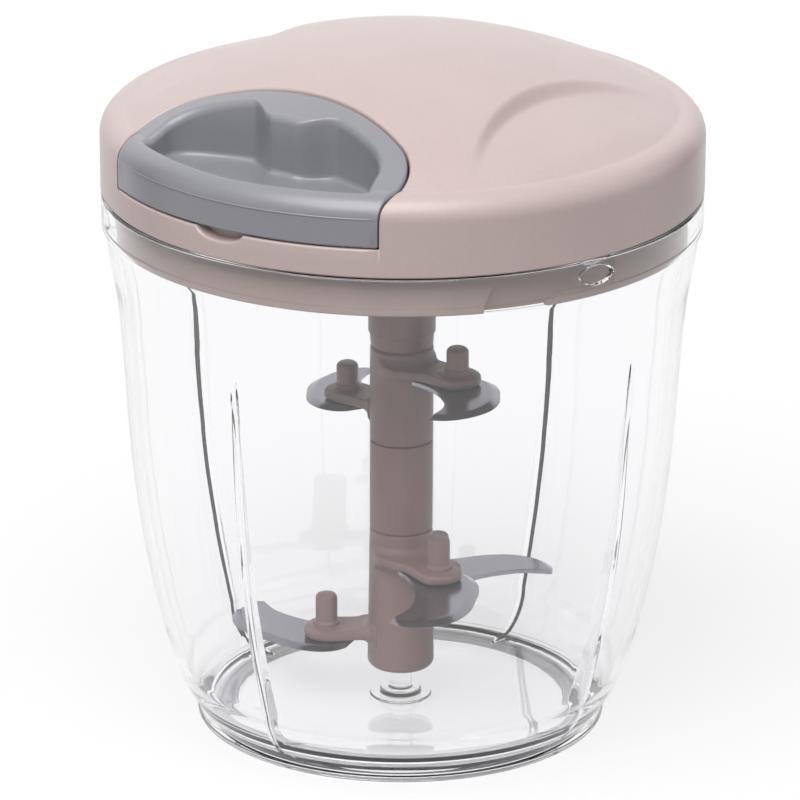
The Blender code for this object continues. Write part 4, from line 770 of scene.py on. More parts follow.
def grip_hollow(size, x, y):
    """Depth of the grip hollows: a smooth step across an arc at each side, fading to the rim
    and the ends."""
    centre = size.dent_edge + size.dent_radius
    inwards = size.dent_radius - np.hypot(np.abs(x) - centre, y + GRIP_SHIFT)
    along = np.clip(np.abs(y + GRIP_SHIFT) / size.dent_length, 0.0, 1.0)
    fade = np.clip(1.0 - inwards / size.dent_fade, 0.0, 1.0)
    rim = size.radius - size.edge_inset
    calm = 1.0 - smooth((np.hypot(x, y) - rim + GRIP_CALM) / GRIP_CALM)
    step = size.dent_depth * smooth(inwards / size.dent_width)
    return step * fade * calm * (1.0 - along ** 2) ** 1.2


def lid_height(size, x, y):
    """Height of the lid's outside over a point: a parabola of the radius less the grip hollows,
    and beyond the dome a quarter ellipse down to the side."""
    radius = np.hypot(x, y)
    dome = size.radius - size.edge_inset
    edge = size.low + size.side + size.edge_rise
    crown = size.top - (size.top - edge) * (np.minimum(radius, dome) / dome) ** 2
    out = np.clip((radius - dome) / size.edge_inset, 0.0, 1.0)
    drop = size.edge_rise * (1.0 - np.sqrt(1.0 - out ** 2))
    return crown - drop - grip_hollow(size, x, y)


def handle_outline(handle, radius, extra, t):
    """The handle's outline from its front corner at +X round the back to the front corner at
    -X, moved out by extra. Up to t = 1 a straight side, to t = 2 a corner arc, to t = 4 the
    back arc, then mirrored."""
    t = np.asarray(t, float)
    side = handle.half_width + extra
    middle = -handle.back - handle.back_radius
    corner_x = handle.half_width - handle.corner
    corner_y = middle + math.sqrt((handle.back_radius - handle.corner) ** 2 - corner_x ** 2)
    front = -np.sqrt(radius ** 2 - side ** 2)
    joint = math.atan2(corner_y - middle, corner_x)
    s = np.minimum(t, 6.0 - t)
    line = np.clip(s, 0.0, 1.0)
    turn = np.clip(s - 1.0, 0.0, 1.0) * joint
    sweep = joint + np.clip(s - 2.0, 0.0, 1.0) * (math.pi / 2.0 - joint)
    reach = handle.corner + extra
    back = handle.back_radius + extra
    first, second = s <= 1.0, s <= 2.0
    x = np.where(second, corner_x + reach * np.cos(turn), back * np.cos(sweep))
    y = np.where(second, corner_y + reach * np.sin(turn), middle + back * np.sin(sweep))
    x, y = np.where(first, side, x), np.where(first, front + (corner_y - front) * line, y)
    return np.where(t <= 3.0, x, -x), y


def scoop(size, x, y):
    """Depth of the fingertip notch in the ledge: part of an ellipsoid at the middle of the
    rim."""
    inwards = size.radius - np.hypot(x, y)
    inside = 1.0 - (x / (size.scoop_width / 2.0)) ** 2 - (inwards / size.scoop_reach) ** 2
    return np.where(y < 0.0, size.scoop_depth * np.sqrt(np.clip(inside, 0.0, None)), 0.0)


def between(start, end, shares):
    """Points along straight lines from start to end, one row for each share."""
    return start[None] + (end - start)[None] * np.asarray(shares, float)[:, None, None]


def at_height(x, y, z):
    """Points from their coordinates; z may be one number for all."""
    return np.stack([x, y, np.broadcast_to(z, np.shape(x))], axis=-1)


def one_point(like, y, z):
    """The point (0, y, z) repeated for each place of an array, which closes a grid at a
    pole."""
    return at_height(0.0 * like, 0.0 * like + y, z)


def around_axis(bearing, out, z):
    """One row of points at a distance from the axis, with bearings from -Y towards +X."""
    return at_height(out * np.sin(bearing), -out * np.cos(bearing), z)[None]


def ray_to_circle(centre_y, x, y, radius):
    """Where the ray from (0, centre_y) through each (x, y) meets a circle about the origin."""
    dx, dy = x, y - centre_y
    size = np.hypot(dx, dy)
    dx, dy = dx / size, dy / size
    along = centre_y * dy
    reach = -along + np.sqrt(along ** 2 + radius ** 2 - centre_y ** 2)
    return dx * reach, centre_y + dy * reach


def outline_stations(handle, radius, extra, limit, counts):
    """Values of t round an outline of the handle, and a mark for each that lies outside a
    circle of radius limit. The two places on that circle are given twice, once with the mark
    and once without."""
    t = np.concatenate([
        np.linspace(0.0, 1.0, counts[0], endpoint=False),
        np.linspace(1.0, 2.0, counts[1], endpoint=False),
        np.linspace(2.0, 3.0, counts[2])])
    fine = np.linspace(0.0, 1.0, 4001)
    cross = np.interp(-limit, -np.hypot(*handle_outline(handle, radius, extra, fine)), fine)
    t = np.sort(np.concatenate([t[np.abs(t - cross) > 0.01], [cross, cross]]))
    outside = t < cross
    outside[np.searchsorted(t, cross)] = True
    return np.concatenate([t, 6.0 - t[-2::-1]]), np.concatenate([outside, outside[-2::-1]])


class CoverLevels:
    """Heights and radii that both grids of the cover share."""

    def __init__(self, size):
        self.ledge = size.low + size.ledge
        self.floor = self.ledge + size.step
        self.side_top = size.low + size.side
        self.dome = size.radius - size.edge_inset
        self.inner = size.radius - size.wall
        self.step_radius = size.radius - size.step_inset
        self.under = self.floor - size.floor
        self.under_ledge = self.ledge - size.floor
        self.well = self.step_radius - size.floor
        self.side_low = [
            (size.radius, size.low + 2.5 * MM), (size.radius, size.low + LOWER_BEVEL),
            (size.radius - LOWER_BEVEL, size.low), (self.inner, size.low),
            (self.inner, self.under_ledge)]


def recess_rows(levels, outside, x, y):
    """Rows from the middle of the recess floor along rays to its outline. Where the outline
    lies outside the step, the row drops there to the ledge and rises again at the outline."""
    step_x, step_y = ray_to_circle(RECESS_MIDDLE, x, y, levels.step_radius)
    step_x, step_y = np.where(outside, step_x, x), np.where(outside, step_y, y)
    base_z = np.where(outside, levels.ledge, levels.floor)
    riser = at_height(step_x, step_y, base_z)
    pole = one_point(x, RECESS_MIDDLE, levels.floor)
    return [between(pole, at_height(step_x, step_y, levels.floor), FLOOR_SHARES), riser[None],
            between(riser, at_height(x, y, base_z), WALL_STEPS),
            at_height(x, y, levels.floor)[None]]


def dome_bearings(levels, half, edge_x, edge_y):
    """Bearing of each column at the rim. Columns that start at the side keep theirs, and the
    others are spread over the rest of the rim as their starts are over the recess's edge."""
    bearing = np.arctan2(edge_x, -edge_y)[:half + 1]
    first = int(np.argmax(np.hypot(edge_x, edge_y) <= levels.dome))
    strides = np.hypot(np.diff(edge_x), np.diff(edge_y))
    travel = np.concatenate([[0.0], np.cumsum(strides)])[:half + 1]
    way = (travel - travel[first]) / (travel[half] - travel[first])
    bearing = np.where(way > 0.0, bearing[first] + (math.pi - bearing[first]) * way, bearing)
    return np.concatenate([bearing, TURN - bearing[-2::-1]])


def cover_inside(size, levels, handle, t, bearing, x, y):
    """Rows under the dome from the rim to the recess's wall, down round it, and in under its
    floor."""
    s = np.minimum(t, 6.0 - t)
    well_x, well_y = ray_to_circle(RECESS_MIDDLE, x, y, levels.well)
    under_x, under_y = handle_outline(handle, size.radius, handle.gap + RECESS_WALL, t)
    blend = 1.0 - smooth(s / CORNER_SHARE)
    under_x, under_y = under_x + (well_x - under_x) * blend, under_y + (well_y - under_y) * blend
    roof = between(around_axis(bearing, levels.inner, 0.0)[0], at_height(under_x, under_y, 0.0),
                   ROOF_SHARES)
    ceiling = lid_height(size, roof[..., 0] * CEILING_SHARE, roof[..., 1] * CEILING_SHARE)
    ceiling = ceiling - size.wall
    rise = smooth((s - CORNER_SHARE) / (1.0 - CORNER_SHARE))
    roof[..., 2] = levels.under_ledge + (ceiling - levels.under_ledge) * rise
    beyond = np.hypot(under_x, under_y) > levels.well
    in_x, in_y = np.where(beyond, well_x, under_x), np.where(beyond, well_y, under_y)
    low_z = np.where(beyond, levels.under_ledge, levels.under)
    return [roof, at_height(under_x, under_y, low_z)[None], at_height(in_x, in_y, low_z)[None],
            at_height(in_x, in_y, levels.under)[None],
            one_point(x, RECESS_MIDDLE, levels.under)[None]]


def cover_back(size, handle, levels):
    """The grid behind the handle. A column runs from the middle of the recess floor out, up the
    recess wall, over the dome and rim, down the side, and back underneath."""
    t, outside = outline_stations(handle, size.radius, handle.gap, levels.step_radius, (20, 26, 90))
    x, y = handle_outline(handle, size.radius, handle.gap, t)
    near_x, near_y = handle_outline(handle, size.radius, handle.gap + MM, t)
    out_x, out_y = (near_x - x) / MM, (near_y - y) / MM
    rows = recess_rows(levels, outside, x, y)
    # The recess's wall, up to a rounded edge that shrinks to nothing at the front corners
    edge = RECESS_EDGE * smooth((size.radius - np.hypot(x, y)) / (3.0 * MM))
    edge_x, edge_y = x + out_x * edge, y + out_y * edge
    edge_z = lid_height(size, edge_x, edge_y)
    rows.append(between(rows[-1][0], at_height(x, y, edge_z - edge), WALL_STEPS))
    for across, down in quarter_round(5)[1:]:
        shift = edge * across
        rows.append(at_height(x + out_x * shift, y + out_y * shift, edge_z - edge * down)[None])
    # The dome, along straight lines from that edge to the rim
    bearing = dome_bearings(levels, len(t) // 2, edge_x, edge_y)
    rim = np.maximum(np.hypot(edge_x, edge_y), levels.dome)
    flat = between(at_height(edge_x, edge_y, 0.0), around_axis(bearing, rim, 0.0)[0],
                   np.linspace(0.0, 1.0, 111)[1:])
    flat[..., 2] = lid_height(size, flat[..., 0], flat[..., 1])
    rows.append(flat)
    # The rim and the side. The side's upper heights match those of the recess wall at the corners.
    start = np.arccos(np.clip((rim - levels.dome) / size.edge_inset, 0.0, 1.0))
    for part in np.linspace(1.0, 0.0, 13)[1:]:
        rows.append(around_axis(bearing, levels.dome + size.edge_inset * np.cos(start * part),
                                levels.side_top + size.edge_rise * np.sin(start * part)))
    upper = levels.floor + (levels.side_top - levels.floor) * WALL_STEPS[-2::-1]
    rows += [around_axis(bearing, size.radius, z) for z in (*upper, levels.floor, levels.ledge)]
    rows += [around_axis(bearing, out, z) for out, z in levels.side_low]
    rows += cover_inside(size, levels, handle, t, bearing, x, y)
    return np.concatenate(rows), bearing[0]


def cover_front(size, levels, corner):
    """The grid in front of the handle: recess floor, riser, ledge with the fingertip notch,
    side, lower edge and underside."""
    bearing = np.linspace(corner, -corner, 141)
    x, y = size.radius * np.sin(bearing), -size.radius * np.cos(bearing)
    step_x, step_y = ray_to_circle(RECESS_MIDDLE, x, y, levels.step_radius)
    edge = LEDGE_EDGE * smooth((corner - np.abs(bearing)) / math.radians(3.0))
    edge_x, edge_y = ray_to_circle(RECESS_MIDDLE, x, y, size.radius - edge)
    ledge = between(at_height(step_x, step_y, levels.ledge),
                    at_height(edge_x, edge_y, levels.ledge), [0.0, *WALL_STEPS])
    ledge[..., 2] -= scoop(size, ledge[..., 0], ledge[..., 1])
    rows = [between(one_point(x, RECESS_MIDDLE, levels.floor),
                    at_height(step_x, step_y, levels.floor), FLOOR_SHARES), ledge]
    for down, across in quarter_round(4)[1:]:
        z = ledge[-1, :, 2] - edge * down
        rows.append(around_axis(bearing, size.radius - edge * across, z))
    rows += [around_axis(bearing, out, z) for out, z in levels.side_low]
    well_x, well_y = ray_to_circle(RECESS_MIDDLE, x, y, levels.well)
    rows += [between(around_axis(bearing, levels.inner, levels.under_ledge)[0],
                     at_height(well_x, well_y, levels.under_ledge), ROOF_SHARES),
             at_height(well_x, well_y, levels.under)[None],
             one_point(x, RECESS_MIDDLE, levels.under)[None]]
    return np.concatenate(rows)


def make_cover(size, handle):
    """The lid's cover, as two grids that share their columns at the recess's front corners: one
    for the dome behind the handle and one for the ledge in front."""
    levels = CoverLevels(size)
    back, corner = cover_back(size, handle, levels)
    front = cover_front(size, levels, corner)
    return merged_mesh("lid_cover_form", [(back, False, False), (front, False, False)])


class CHOPPER_OT_cover(bpy.types.Operator):
    """Add the lid's sculpted cover with its grip hollows and the recess for the handle"""
    bl_idname = "chopper.cover"
    bl_label = "Lid cover"

    def execute(self, context):
        scene = context.scene
        mesh = make_cover(scene.chopper_lid, scene.chopper_handle)
        pink = finish("satin_polypropylene_pink")
        add_piece("lid_shell", mesh, pink, "lid", ["lid_cover"])
        return {"FINISHED"}


SKIRT_RADIUS = 58.7 * MM        # bayonet skirt of the lid's base
SKIRT_WALL = 3.4 * MM
PLATE = 1.8 * MM                # thickness of the base's plate
FLANGE = 0.8 * MM               # thickness of the flange that lies on the seal
BEARING_BORE = 7.3 * MM         # tube in which the drive socket turns
BEARING_RADIUS = 9.5 * MM
BEARING_LOW = 109.8 * MM
SKIRT_LOW = 107.4 * MM
SLOT_PLAY = 0.4 * MM            # above and below a lug in its slot
SLOT_DEPTH = 1.5 * MM
SLOT_SOFT = 0.35 * MM           # width of the round along a slot's edge
SLOT_LEAD = 20.0                # degrees before an entry that count to its slot
# In degrees from the entry: a slot's ends, and where the lines of its roof and its base bend
SLOT_ENDS = (-6.6, 22.0)
ROOF_BENDS = (-6.6, -4.5)
BASE_BENDS = (5.2, 6.6, 9.2)


def slot_entry(size):
    """Bearing in degrees from +X where the first lug enters its slot."""
    return first_lug(size) - BAYONET_TURN


def slot_depth(size, height, degrees):
    """Depth of the bayonet slots in the skirt: open below at the entry, then level up to the
    locked place. Each slot's roof and base are lines over the angle from the entry."""
    off = (degrees - slot_entry(size) + SLOT_LEAD) % (360.0 / LUG_COUNT) - SLOT_LEAD
    roof = size.lug_level + size.lug_height / 2.0 + SLOT_PLAY
    base = size.lug_level - size.lug_height / 2.0 - SLOT_PLAY
    mouth = low("lid_base").z
    upper = np.interp(off, ROOF_BENDS, (mouth + 1.4 * MM, roof))
    lower = np.interp(off, BASE_BENDS, (mouth - 1.6 * MM, mouth + 0.2 * MM, base))
    first, last = SLOT_ENDS
    across = np.minimum(off - first, last - off) * math.radians(1.0) * size.band_radius
    inside = np.minimum(np.minimum(upper - height, height - lower), across)
    return SLOT_DEPTH * smooth(inside / SLOT_SOFT + 0.5)


def make_lid_base(bowl):
    """The lid's base: a closed profile of plate, skirt and bearing tube turned about Z, with
    the skirt's outside moved inwards by the slots."""
    flange, top = high("lid_base").x, high("lid_base").z
    plate_low, flange_low = top - PLATE, top - FLANGE
    inside = SKIRT_RADIUS - SKIRT_WALL
    middle = slot_entry(bowl) + sum(SLOT_ENDS) / 2.0
    slots = [middle + 360.0 / LUG_COUNT * index for index in range(LUG_COUNT)]
    angles = dense_angles(1.5, slots, 15.5, 0.3)
    heights = np.arange(plate_low - 0.8 * MM, SKIRT_LOW + 0.5 * MM, -0.24 * MM)
    profile = np.vstack([
        rounded_profile([
            (BEARING_BORE, top, 0.0), (flange, top, 0.2 * MM), (flange, flange_low, 0.2 * MM),
            (SKIRT_RADIUS, flange_low, 0.2 * MM),
            (SKIRT_RADIUS, plate_low - 0.5 * MM, 0.0)], 3)[1:],
        np.stack([np.full_like(heights, SKIRT_RADIUS), heights], axis=-1),
        rounded_profile([
            (SKIRT_RADIUS, SKIRT_LOW + 0.5 * MM, 0.0), (SKIRT_RADIUS, SKIRT_LOW, 0.3 * MM),
            (inside, SKIRT_LOW, 0.6 * MM), (inside, plate_low, 0.9 * MM),
            (BEARING_RADIUS + 1.0 * MM, plate_low, 0.0), (BEARING_RADIUS, plate_low, 0.9 * MM),
            (BEARING_RADIUS, BEARING_LOW, 0.4 * MM), (BEARING_BORE, BEARING_LOW, 0.3 * MM),
            (BEARING_BORE, top, 0.0)], 4)])
    rings = np.repeat(profile[:, None, :], len(angles), axis=1)
    facing = (rings[..., 0] > SKIRT_RADIUS - 0.5 * MM) & (rings[..., 1] < plate_low - 0.2 * MM)
    depth = slot_depth(bowl, rings[..., 1], np.degrees(angles)[None, :])
    rings[..., 0] -= np.where(facing, depth, 0.0)
    return merged_mesh("lid_base_form", [(revolved(rings, angles), True, True)])


def make_seal():
    """The seal: a flat ring with round edges, turned about Z."""
    inner, outer = 59.0 * MM, high("lid_seal").x
    base, top = low("lid_seal").z, high("lid_seal").z
    half = (base + top) / 2.0
    profile = rounded_profile([
        (inner, half, 0.0), (inner, base, 0.25 * MM), (outer, base, 0.45 * MM),
        (outer, top, 0.45 * MM), (inner, top, 0.25 * MM), (inner, half, 0.0)], 4)
    return merged_mesh("lid_seal_form", [(revolved(profile, even_angles(240)), True, True)])


class CHOPPER_OT_base(bpy.types.Operator):
    """Add the lid's base: plate, bayonet skirt with its slots, and bearing tube"""
    bl_idname = "chopper.base"
    bl_label = "Lid base"

    def execute(self, context):
        mesh = make_lid_base(context.scene.chopper_bowl)
        # The base's pink is darker than the cover's: painted shade
        pink = finish("satin_polypropylene_pink_painted_shade")
        add_piece("lid_bayonet_base", mesh, pink, "lid", ["lid_base"])
        return {"FINISHED"}


class CHOPPER_OT_seal(bpy.types.Operator):
    """Add the silicone seal between the lid's base and the rim"""
    bl_idname = "chopper.seal"
    bl_label = "Seal"

    def execute(self, context):
        silicone = finish("white_silicone")
        add_piece("silicone_seal", make_seal(), silicone, "lid", ["lid_seal"])
        return {"FINISHED"}


# The pull handle

OPENING_HALF = 19.0 * MM        # half the width of the opening's back arc
SIDE_FROM = -80.0 * MM          # Y of a straight side's ends: in front of the handle, and inside
SIDE_TO = -51.0 * MM
OPENING_BEND = -45.5 * MM       # Y where the side starts to bend into the back corner
OPENING_SOFT = 0.6 * MM         # round where the opening's sides meet its front
SEAT_EDGE = 3.0 * MM            # the outer round shrinks over this width at the rim
BOTTOM_CHAMFER = 0.35 * MM      # along the lip's lower edge
BAND_RISE = 0.4 * MM            # height above the bead where the round band above it starts
BAND_SHARE = 0.45               # share of the face's inset that the band keeps
# The bead's rows: millimetres above its level, and the share of the face's inset there
BEAD_ROWS = ((-0.16, 1.0), (-0.1, 0.2), (0.0, 0.0), (0.1, 0.2), (0.16, 0.5), (0.4, BAND_SHARE))


def opening_reach(handle, radius, angles):
    """Distance from the middle of the recess to the finger opening's edge: straight sides, a
    front along a circle, and a back arc with a bump that hides the knot; where two of them meet
    the corner is rounded."""
    side = handle.half_width - handle.side_wall
    back = handle.back_radius - handle.back_wall
    across = np.linspace(OPENING_HALF, 0.0, 80)
    depth = np.sqrt(back ** 2 - across ** 2) - handle.back - handle.back_radius
    bump = handle.knot_wall - handle.back_wall
    depth = depth - bump * (1.0 - smooth((across - handle.knot_half) / handle.knot_slope))
    # A corner is a quadratic curve from the slanted side to the back arc's end
    t = np.linspace(0.0, 1.0, 30)[:-1, None]
    start = np.array([side - 0.8 * handle.side_slant, OPENING_BEND])
    end = np.array([across[0], depth[0]])
    bend = np.array([side - handle.side_slant, 0.0])
    bend[1] = end[1] - (bend[0] - end[0]) * across[0] / math.sqrt(back ** 2 - across[0] ** 2)
    corner = (1 - t) ** 2 * start + 2 * t * (1 - t) * bend + t ** 2 * end
    straight = [(side, SIDE_FROM), (side, SIDE_TO)]
    right = np.vstack([straight, corner, np.stack([across, depth], axis=-1)])
    outline = np.vstack([right, (right * (-1.0, 1.0))[-2::-1]]) - (0.0, RECESS_MIDDLE)
    sides = [np.linspace(a, b, 60, endpoint=False) for a, b in zip(outline[:-1], outline[1:])]
    dense = np.concatenate([*sides, outline[-1:]])
    bearing = np.unwrap(np.arctan2(dense[:, 1], dense[:, 0]))
    reach = np.interp((angles - bearing[0]) % TURN + bearing[0], bearing,
                      np.hypot(dense[:, 0], dense[:, 1]), right=1.0)
    front_x, front_y = ray_to_circle(
        RECESS_MIDDLE, np.cos(angles), RECESS_MIDDLE + np.sin(angles), radius - handle.front_wall)
    front = np.hypot(front_x, front_y - RECESS_MIDDLE)
    return -OPENING_SOFT * np.log(np.exp(-reach / OPENING_SOFT) + np.exp(-front / OPENING_SOFT))


def make_handle(handle, lid):
    """The loop handle, as rings from the middle of its underside out round the outer outline,
    up and over the rim, and down the finger opening's wall to the thin floor. The rim follows
    the lid's height, with rounded edges, and a lip hangs in front of the ledge."""
    radius = lid.radius
    side_top = lid.low + lid.side
    seat = lid.low + lid.ledge + lid.step + GAP
    step_radius = lid.radius - lid.step_inset + GAP
    # The outer outline: its sides and back, then the front along the lid's side
    t, lip = outline_stations(handle, radius, 0.0, step_radius, (16, 26, 70))
    x, y = handle_outline(handle, radius, 0.0, t)
    corner = math.atan2(x[0], -y[0])
    bearing = np.linspace(-corner, corner, 121)[1:-1]
    x = np.concatenate([x, radius * np.sin(bearing)])
    y = np.concatenate([y, -radius * np.cos(bearing)])
    lip = np.concatenate([lip, np.ones(len(bearing), bool)])
    front = np.hypot(x, y) > radius - 0.001 * MM
    # Every ring is measured inwards from it, along rays from the middle of the recess
    angles = np.arctan2(y - RECESS_MIDDLE, x)
    far = np.hypot(x, y - RECESS_MIDDLE)
    near = opening_reach(handle, radius, angles)
    ux, uy = np.cos(angles), np.sin(angles)
    step_x, step_y = ray_to_circle(RECESS_MIDDLE, x, y, step_radius)
    inset = np.where(lip, far - np.hypot(step_x, step_y - RECESS_MIDDLE), 0.0)
    bottom = np.where(lip, handle.low, seat)
    chamfer = np.minimum(BOTTOM_CHAMFER, inset * 0.4)

    def spot(depth, z):
        reach = far - depth
        return at_height(ux * reach, RECESS_MIDDLE + uy * reach, z)[None]

    def top_at(depth):
        reach = far - depth
        return lid_height(lid, ux * reach, RECESS_MIDDLE + uy * reach)

    from_front = smooth((corner - np.abs(np.arctan2(x, -y))) / math.radians(2.0)) * front
    edge = handle.round_edge * smooth((radius - np.hypot(x, y)) / SEAT_EDGE)
    crest = top_at(edge)
    wall_top = np.where(front, side_top, crest - edge)
    face = handle.bead * from_front
    rows = [spot(far, seat), spot(inset, seat), spot(inset, bottom), spot(chamfer + face, bottom),
            spot(face, bottom + chamfer), spot(face, np.where(lip, seat, bottom)),
            spot(face, np.where(front, side_top - 0.3 * MM, wall_top))]
    # The parting bead stands between the inset face below and the round band above
    for rise, back_share in BEAD_ROWS:
        z = handle.bead_level + rise * MM
        out = lid.edge_inset * (1.0 - math.sqrt(1.0 - ((z - side_top) / lid.edge_rise) ** 2))
        rows.append(spot(np.where(front, out + face * back_share, 0.0),
                         np.where(front, z, wall_top)))
    begin = out + face * BAND_SHARE
    for across, down in quarter_round(5)[1:]:
        rows.append(spot(np.where(front, begin, edge * across),
                         np.where(front, handle.bead_level + BAND_RISE, crest - edge * down)))
    # The rim's top, from there to the opening's round edge
    begin = np.where(front, begin, edge)
    end = far - near - handle.inner_edge
    ending = top_at(end)
    for part in np.linspace(0.0, 1.0, 20)[1:]:
        depth = begin + (end - begin) * (1.0 - math.cos(part * math.pi / 2.0))
        fading = face * BAND_SHARE * (1.0 - part)
        rows.append(spot(depth, top_at(depth - fading * front)))
    for turn in quarter(6)[1:]:
        rows.append(spot(end + handle.inner_edge * math.sin(turn),
                         ending - handle.inner_edge * (1.0 - math.cos(turn))))
    # The opening's wall, its fillet and the thin floor
    fillet, floor = handle.floor_fillet, seat + handle.floor
    rows += [spot(far - near + fillet * across, floor + fillet * down)
             for across, down in quarter_round(5)]
    rows += [spot(far - near * part, floor) for part in (0.7, 0.4, 0.0)]
    return merged_mesh("pull_handle_form", [(np.concatenate(rows), True, False)])


class CHOPPER_OT_handle(bpy.types.Operator):
    """Add the pull handle, a loop that lies flush in the lid's recess"""
    bl_idname = "chopper.handle"
    bl_label = "Pull handle"

    def execute(self, context):
        scene = context.scene
        mesh = make_handle(scene.chopper_handle, scene.chopper_lid)
        grey = finish("satin_abs_grey")
        add_piece("loop_handle", mesh, grey, "handle", ["pull_handle"])
        return {"FINISHED"}


# Cord, knot and eyelet

def swept_tube(path, radius, sides=16):
    """Grid of a round tube: circles of a radius, square to a path of points, carried along it
    without twist, with each end closed by a point."""
    path = np.asarray(path, float)
    along = np.gradient(path, axis=0)
    along /= np.linalg.norm(along, axis=1)[:, None]
    first = np.cross(along, (0.0, 0.0, 1.0))
    first /= np.linalg.norm(first, axis=1)[:, None]
    second = np.cross(along, first)
    turns = even_angles(sides)
    circle = path[:, None] + radius * (np.cos(turns)[None, :, None] * first[:, None]
                                       + np.sin(turns)[None, :, None] * second[:, None])
    ends = [np.repeat(path[i][None, None], sides, axis=1) for i in (0, -1)]
    return np.concatenate([ends[0], circle, ends[1]])


CORD_RADIUS = 0.9 * MM
COIL_RADIUS = 20.6 * MM         # of the cord's middle on the reel
COIL_TURNS = 2.8
COIL_PITCH = 2.25 * MM
CORD_BEND = -26.4 * MM          # Y where the lead turns towards the handle
BEND_REACH = 1.5 * CORD_RADIUS  # the bend begins and ends this far from there
CORD_END = -34.25 * MM          # Y where it enters the knot's pocket
KNOT_HALF = 2.3 * MM
KNOT_STRAND = 0.72 * MM         # radius of the cord drawn tight in the knot
EYELET_FRONT = -30.6 * MM       # Y of the eyelet's front end and of its flange
EYELET_FLANGE = -28.3 * MM
EYELET_BORE = 1.5 * MM
EYELET_RADIUS = 2.6 * MM
FLANGE_RADIUS = 3.8 * MM


def cord_level():
    """Height at which the cord runs from the reel to the handle."""
    return (low("cord_lead").z + high("cord_lead").z) / 2.0


def leaving_angle():
    """Angle from -Y towards -X at which the straight lead touches the coil."""
    return math.acos(COIL_RADIUS / -CORD_BEND)


def make_lead():
    """The lead: a straight line that touches the coil, a small bend as a quadratic curve, and a
    straight line to the handle, with a round tube carried along it."""
    leave = leaving_angle()
    start = np.array([-math.sin(leave), -math.cos(leave), 0.0]) * COIL_RADIUS
    corner = np.array([0.0, CORD_BEND, 0.0])
    away = (start - corner) / np.linalg.norm(start - corner)
    entry, leaving = corner + away * BEND_REACH, corner + (0.0, -BEND_REACH, 0.0)
    first = start - away * 1.2 * MM
    line = first + np.linspace(0.0, 1.0, 8)[:-1, None] * (entry - first)
    t = np.linspace(0.0, 1.0, 12)[:, None]
    curve = (1 - t) ** 2 * entry + 2 * t * (1 - t) * corner + t ** 2 * leaving
    y = np.linspace(leaving[1] - 0.05 * MM, CORD_END, 90)
    out = np.stack([0.0 * y, y, 0.0 * y], axis=-1)
    path = np.vstack([line, curve, out]) + (0.0, 0.0, cord_level())
    return merged_mesh("cord_lead_form", [(swept_tube(path, CORD_RADIUS), True, False)])


def make_knot():
    """The stopper knot: a tube along a trefoil, a curve of sines and cosines of one, two and
    three turns."""
    turn = np.linspace(0.0, TURN, 161)
    trefoil = np.stack([np.sin(turn) + 2.0 * np.sin(2.0 * turn), -np.sin(3.0 * turn) * 1.1,
                        np.cos(turn) - 2.0 * np.cos(2.0 * turn)], axis=-1)
    knot = trefoil * ((KNOT_HALF - KNOT_STRAND) / 3.0) + middle_of("cord_knot")
    tube = swept_tube(knot, KNOT_STRAND, 14)
    return merged_mesh("cord_knot_form", [(tube, True, False)])


def make_winding():
    """The turns on the reel: a tube along a helix that starts where the lead leaves the
    coil."""
    steps = np.arange(0.0, COIL_TURNS, 1.0 / 96.0)
    at = -math.pi / 2.0 - leaving_angle() - TURN * steps
    helix = np.stack([COIL_RADIUS * np.cos(at), COIL_RADIUS * np.sin(at),
                      cord_level() - COIL_PITCH * steps], axis=-1)
    return merged_mesh("cord_winding_form", [(swept_tube(helix, CORD_RADIUS, 14), True, False)])


def make_eyelet():
    """The eyelet: a flanged tube turned about the cord's level line."""
    front, flange, back = EYELET_FRONT, EYELET_FLANGE, EYELET_FLANGE + 1.0 * MM
    profile = rounded_profile([
        (EYELET_BORE, flange, 0.0), (EYELET_BORE, back, 0.3 * MM),
        (FLANGE_RADIUS, back, 0.3 * MM), (FLANGE_RADIUS, flange, 0.2 * MM),
        (EYELET_RADIUS, flange, 0.0), (EYELET_RADIUS, front, 0.4 * MM),
        (EYELET_BORE, front, 0.5 * MM), (EYELET_BORE, flange, 0.0)], 5)
    rings = revolved(profile, even_angles(64))
    rings = np.stack([rings[..., 0], rings[..., 2], rings[..., 1] + cord_level()], axis=-1)
    return merged_mesh("cord_eyelet_form", [(rings, True, True)])


class CHOPPER_OT_cord(bpy.types.Operator):
    """Add the cord to the handle with its knot, its winding on the reel and its eyelet"""
    bl_idname = "chopper.cord"
    bl_label = "Cord and eyelet"

    def execute(self, context):
        cord = finish("braided_nylon_cord")
        level = cord_level()
        lead = add_piece("cord_to_handle", make_lead(), cord, None, ["cord_lead"])
        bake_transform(lead)
        add_piece("stopper_knot", make_knot(), cord, "handle", ["cord_knot"])
        add_piece("cord_on_reel", make_winding(), cord, "reel", ["cord_winding"])
        steel = finish("polished_stainless_steel")
        add_piece("cord_grommet", make_eyelet(), steel, "lid", ["cord_eyelet"])
        return {"FINISHED"}


# Stem, blades and pegs

# Bearings of the arms, in degrees from +X
ARMS = {"upper": (-25.0, 155.0), "lower": (-42.0, 78.0, 198.0)}
# Corners of an arm that points to +X, in millimetres from the stem's axis
ARM_OUTLINE = np.array([
    (2.0, -6.6), (6.6, -5.8), (9.6, -3.3), (12.6, -0.9), (15.4, 0.1), (17.9, 1.0), (19.3, 3.2),
    (19.5, 5.6), (18.2, 8.2), (15.6, 9.5), (12.8, 9.0), (9.8, 7.5), (7.0, 6.4), (3.4, 6.2)]) * MM
PEG_PLACE = np.array([14.9, 4.8]) * MM      # middle of the peg on that arm
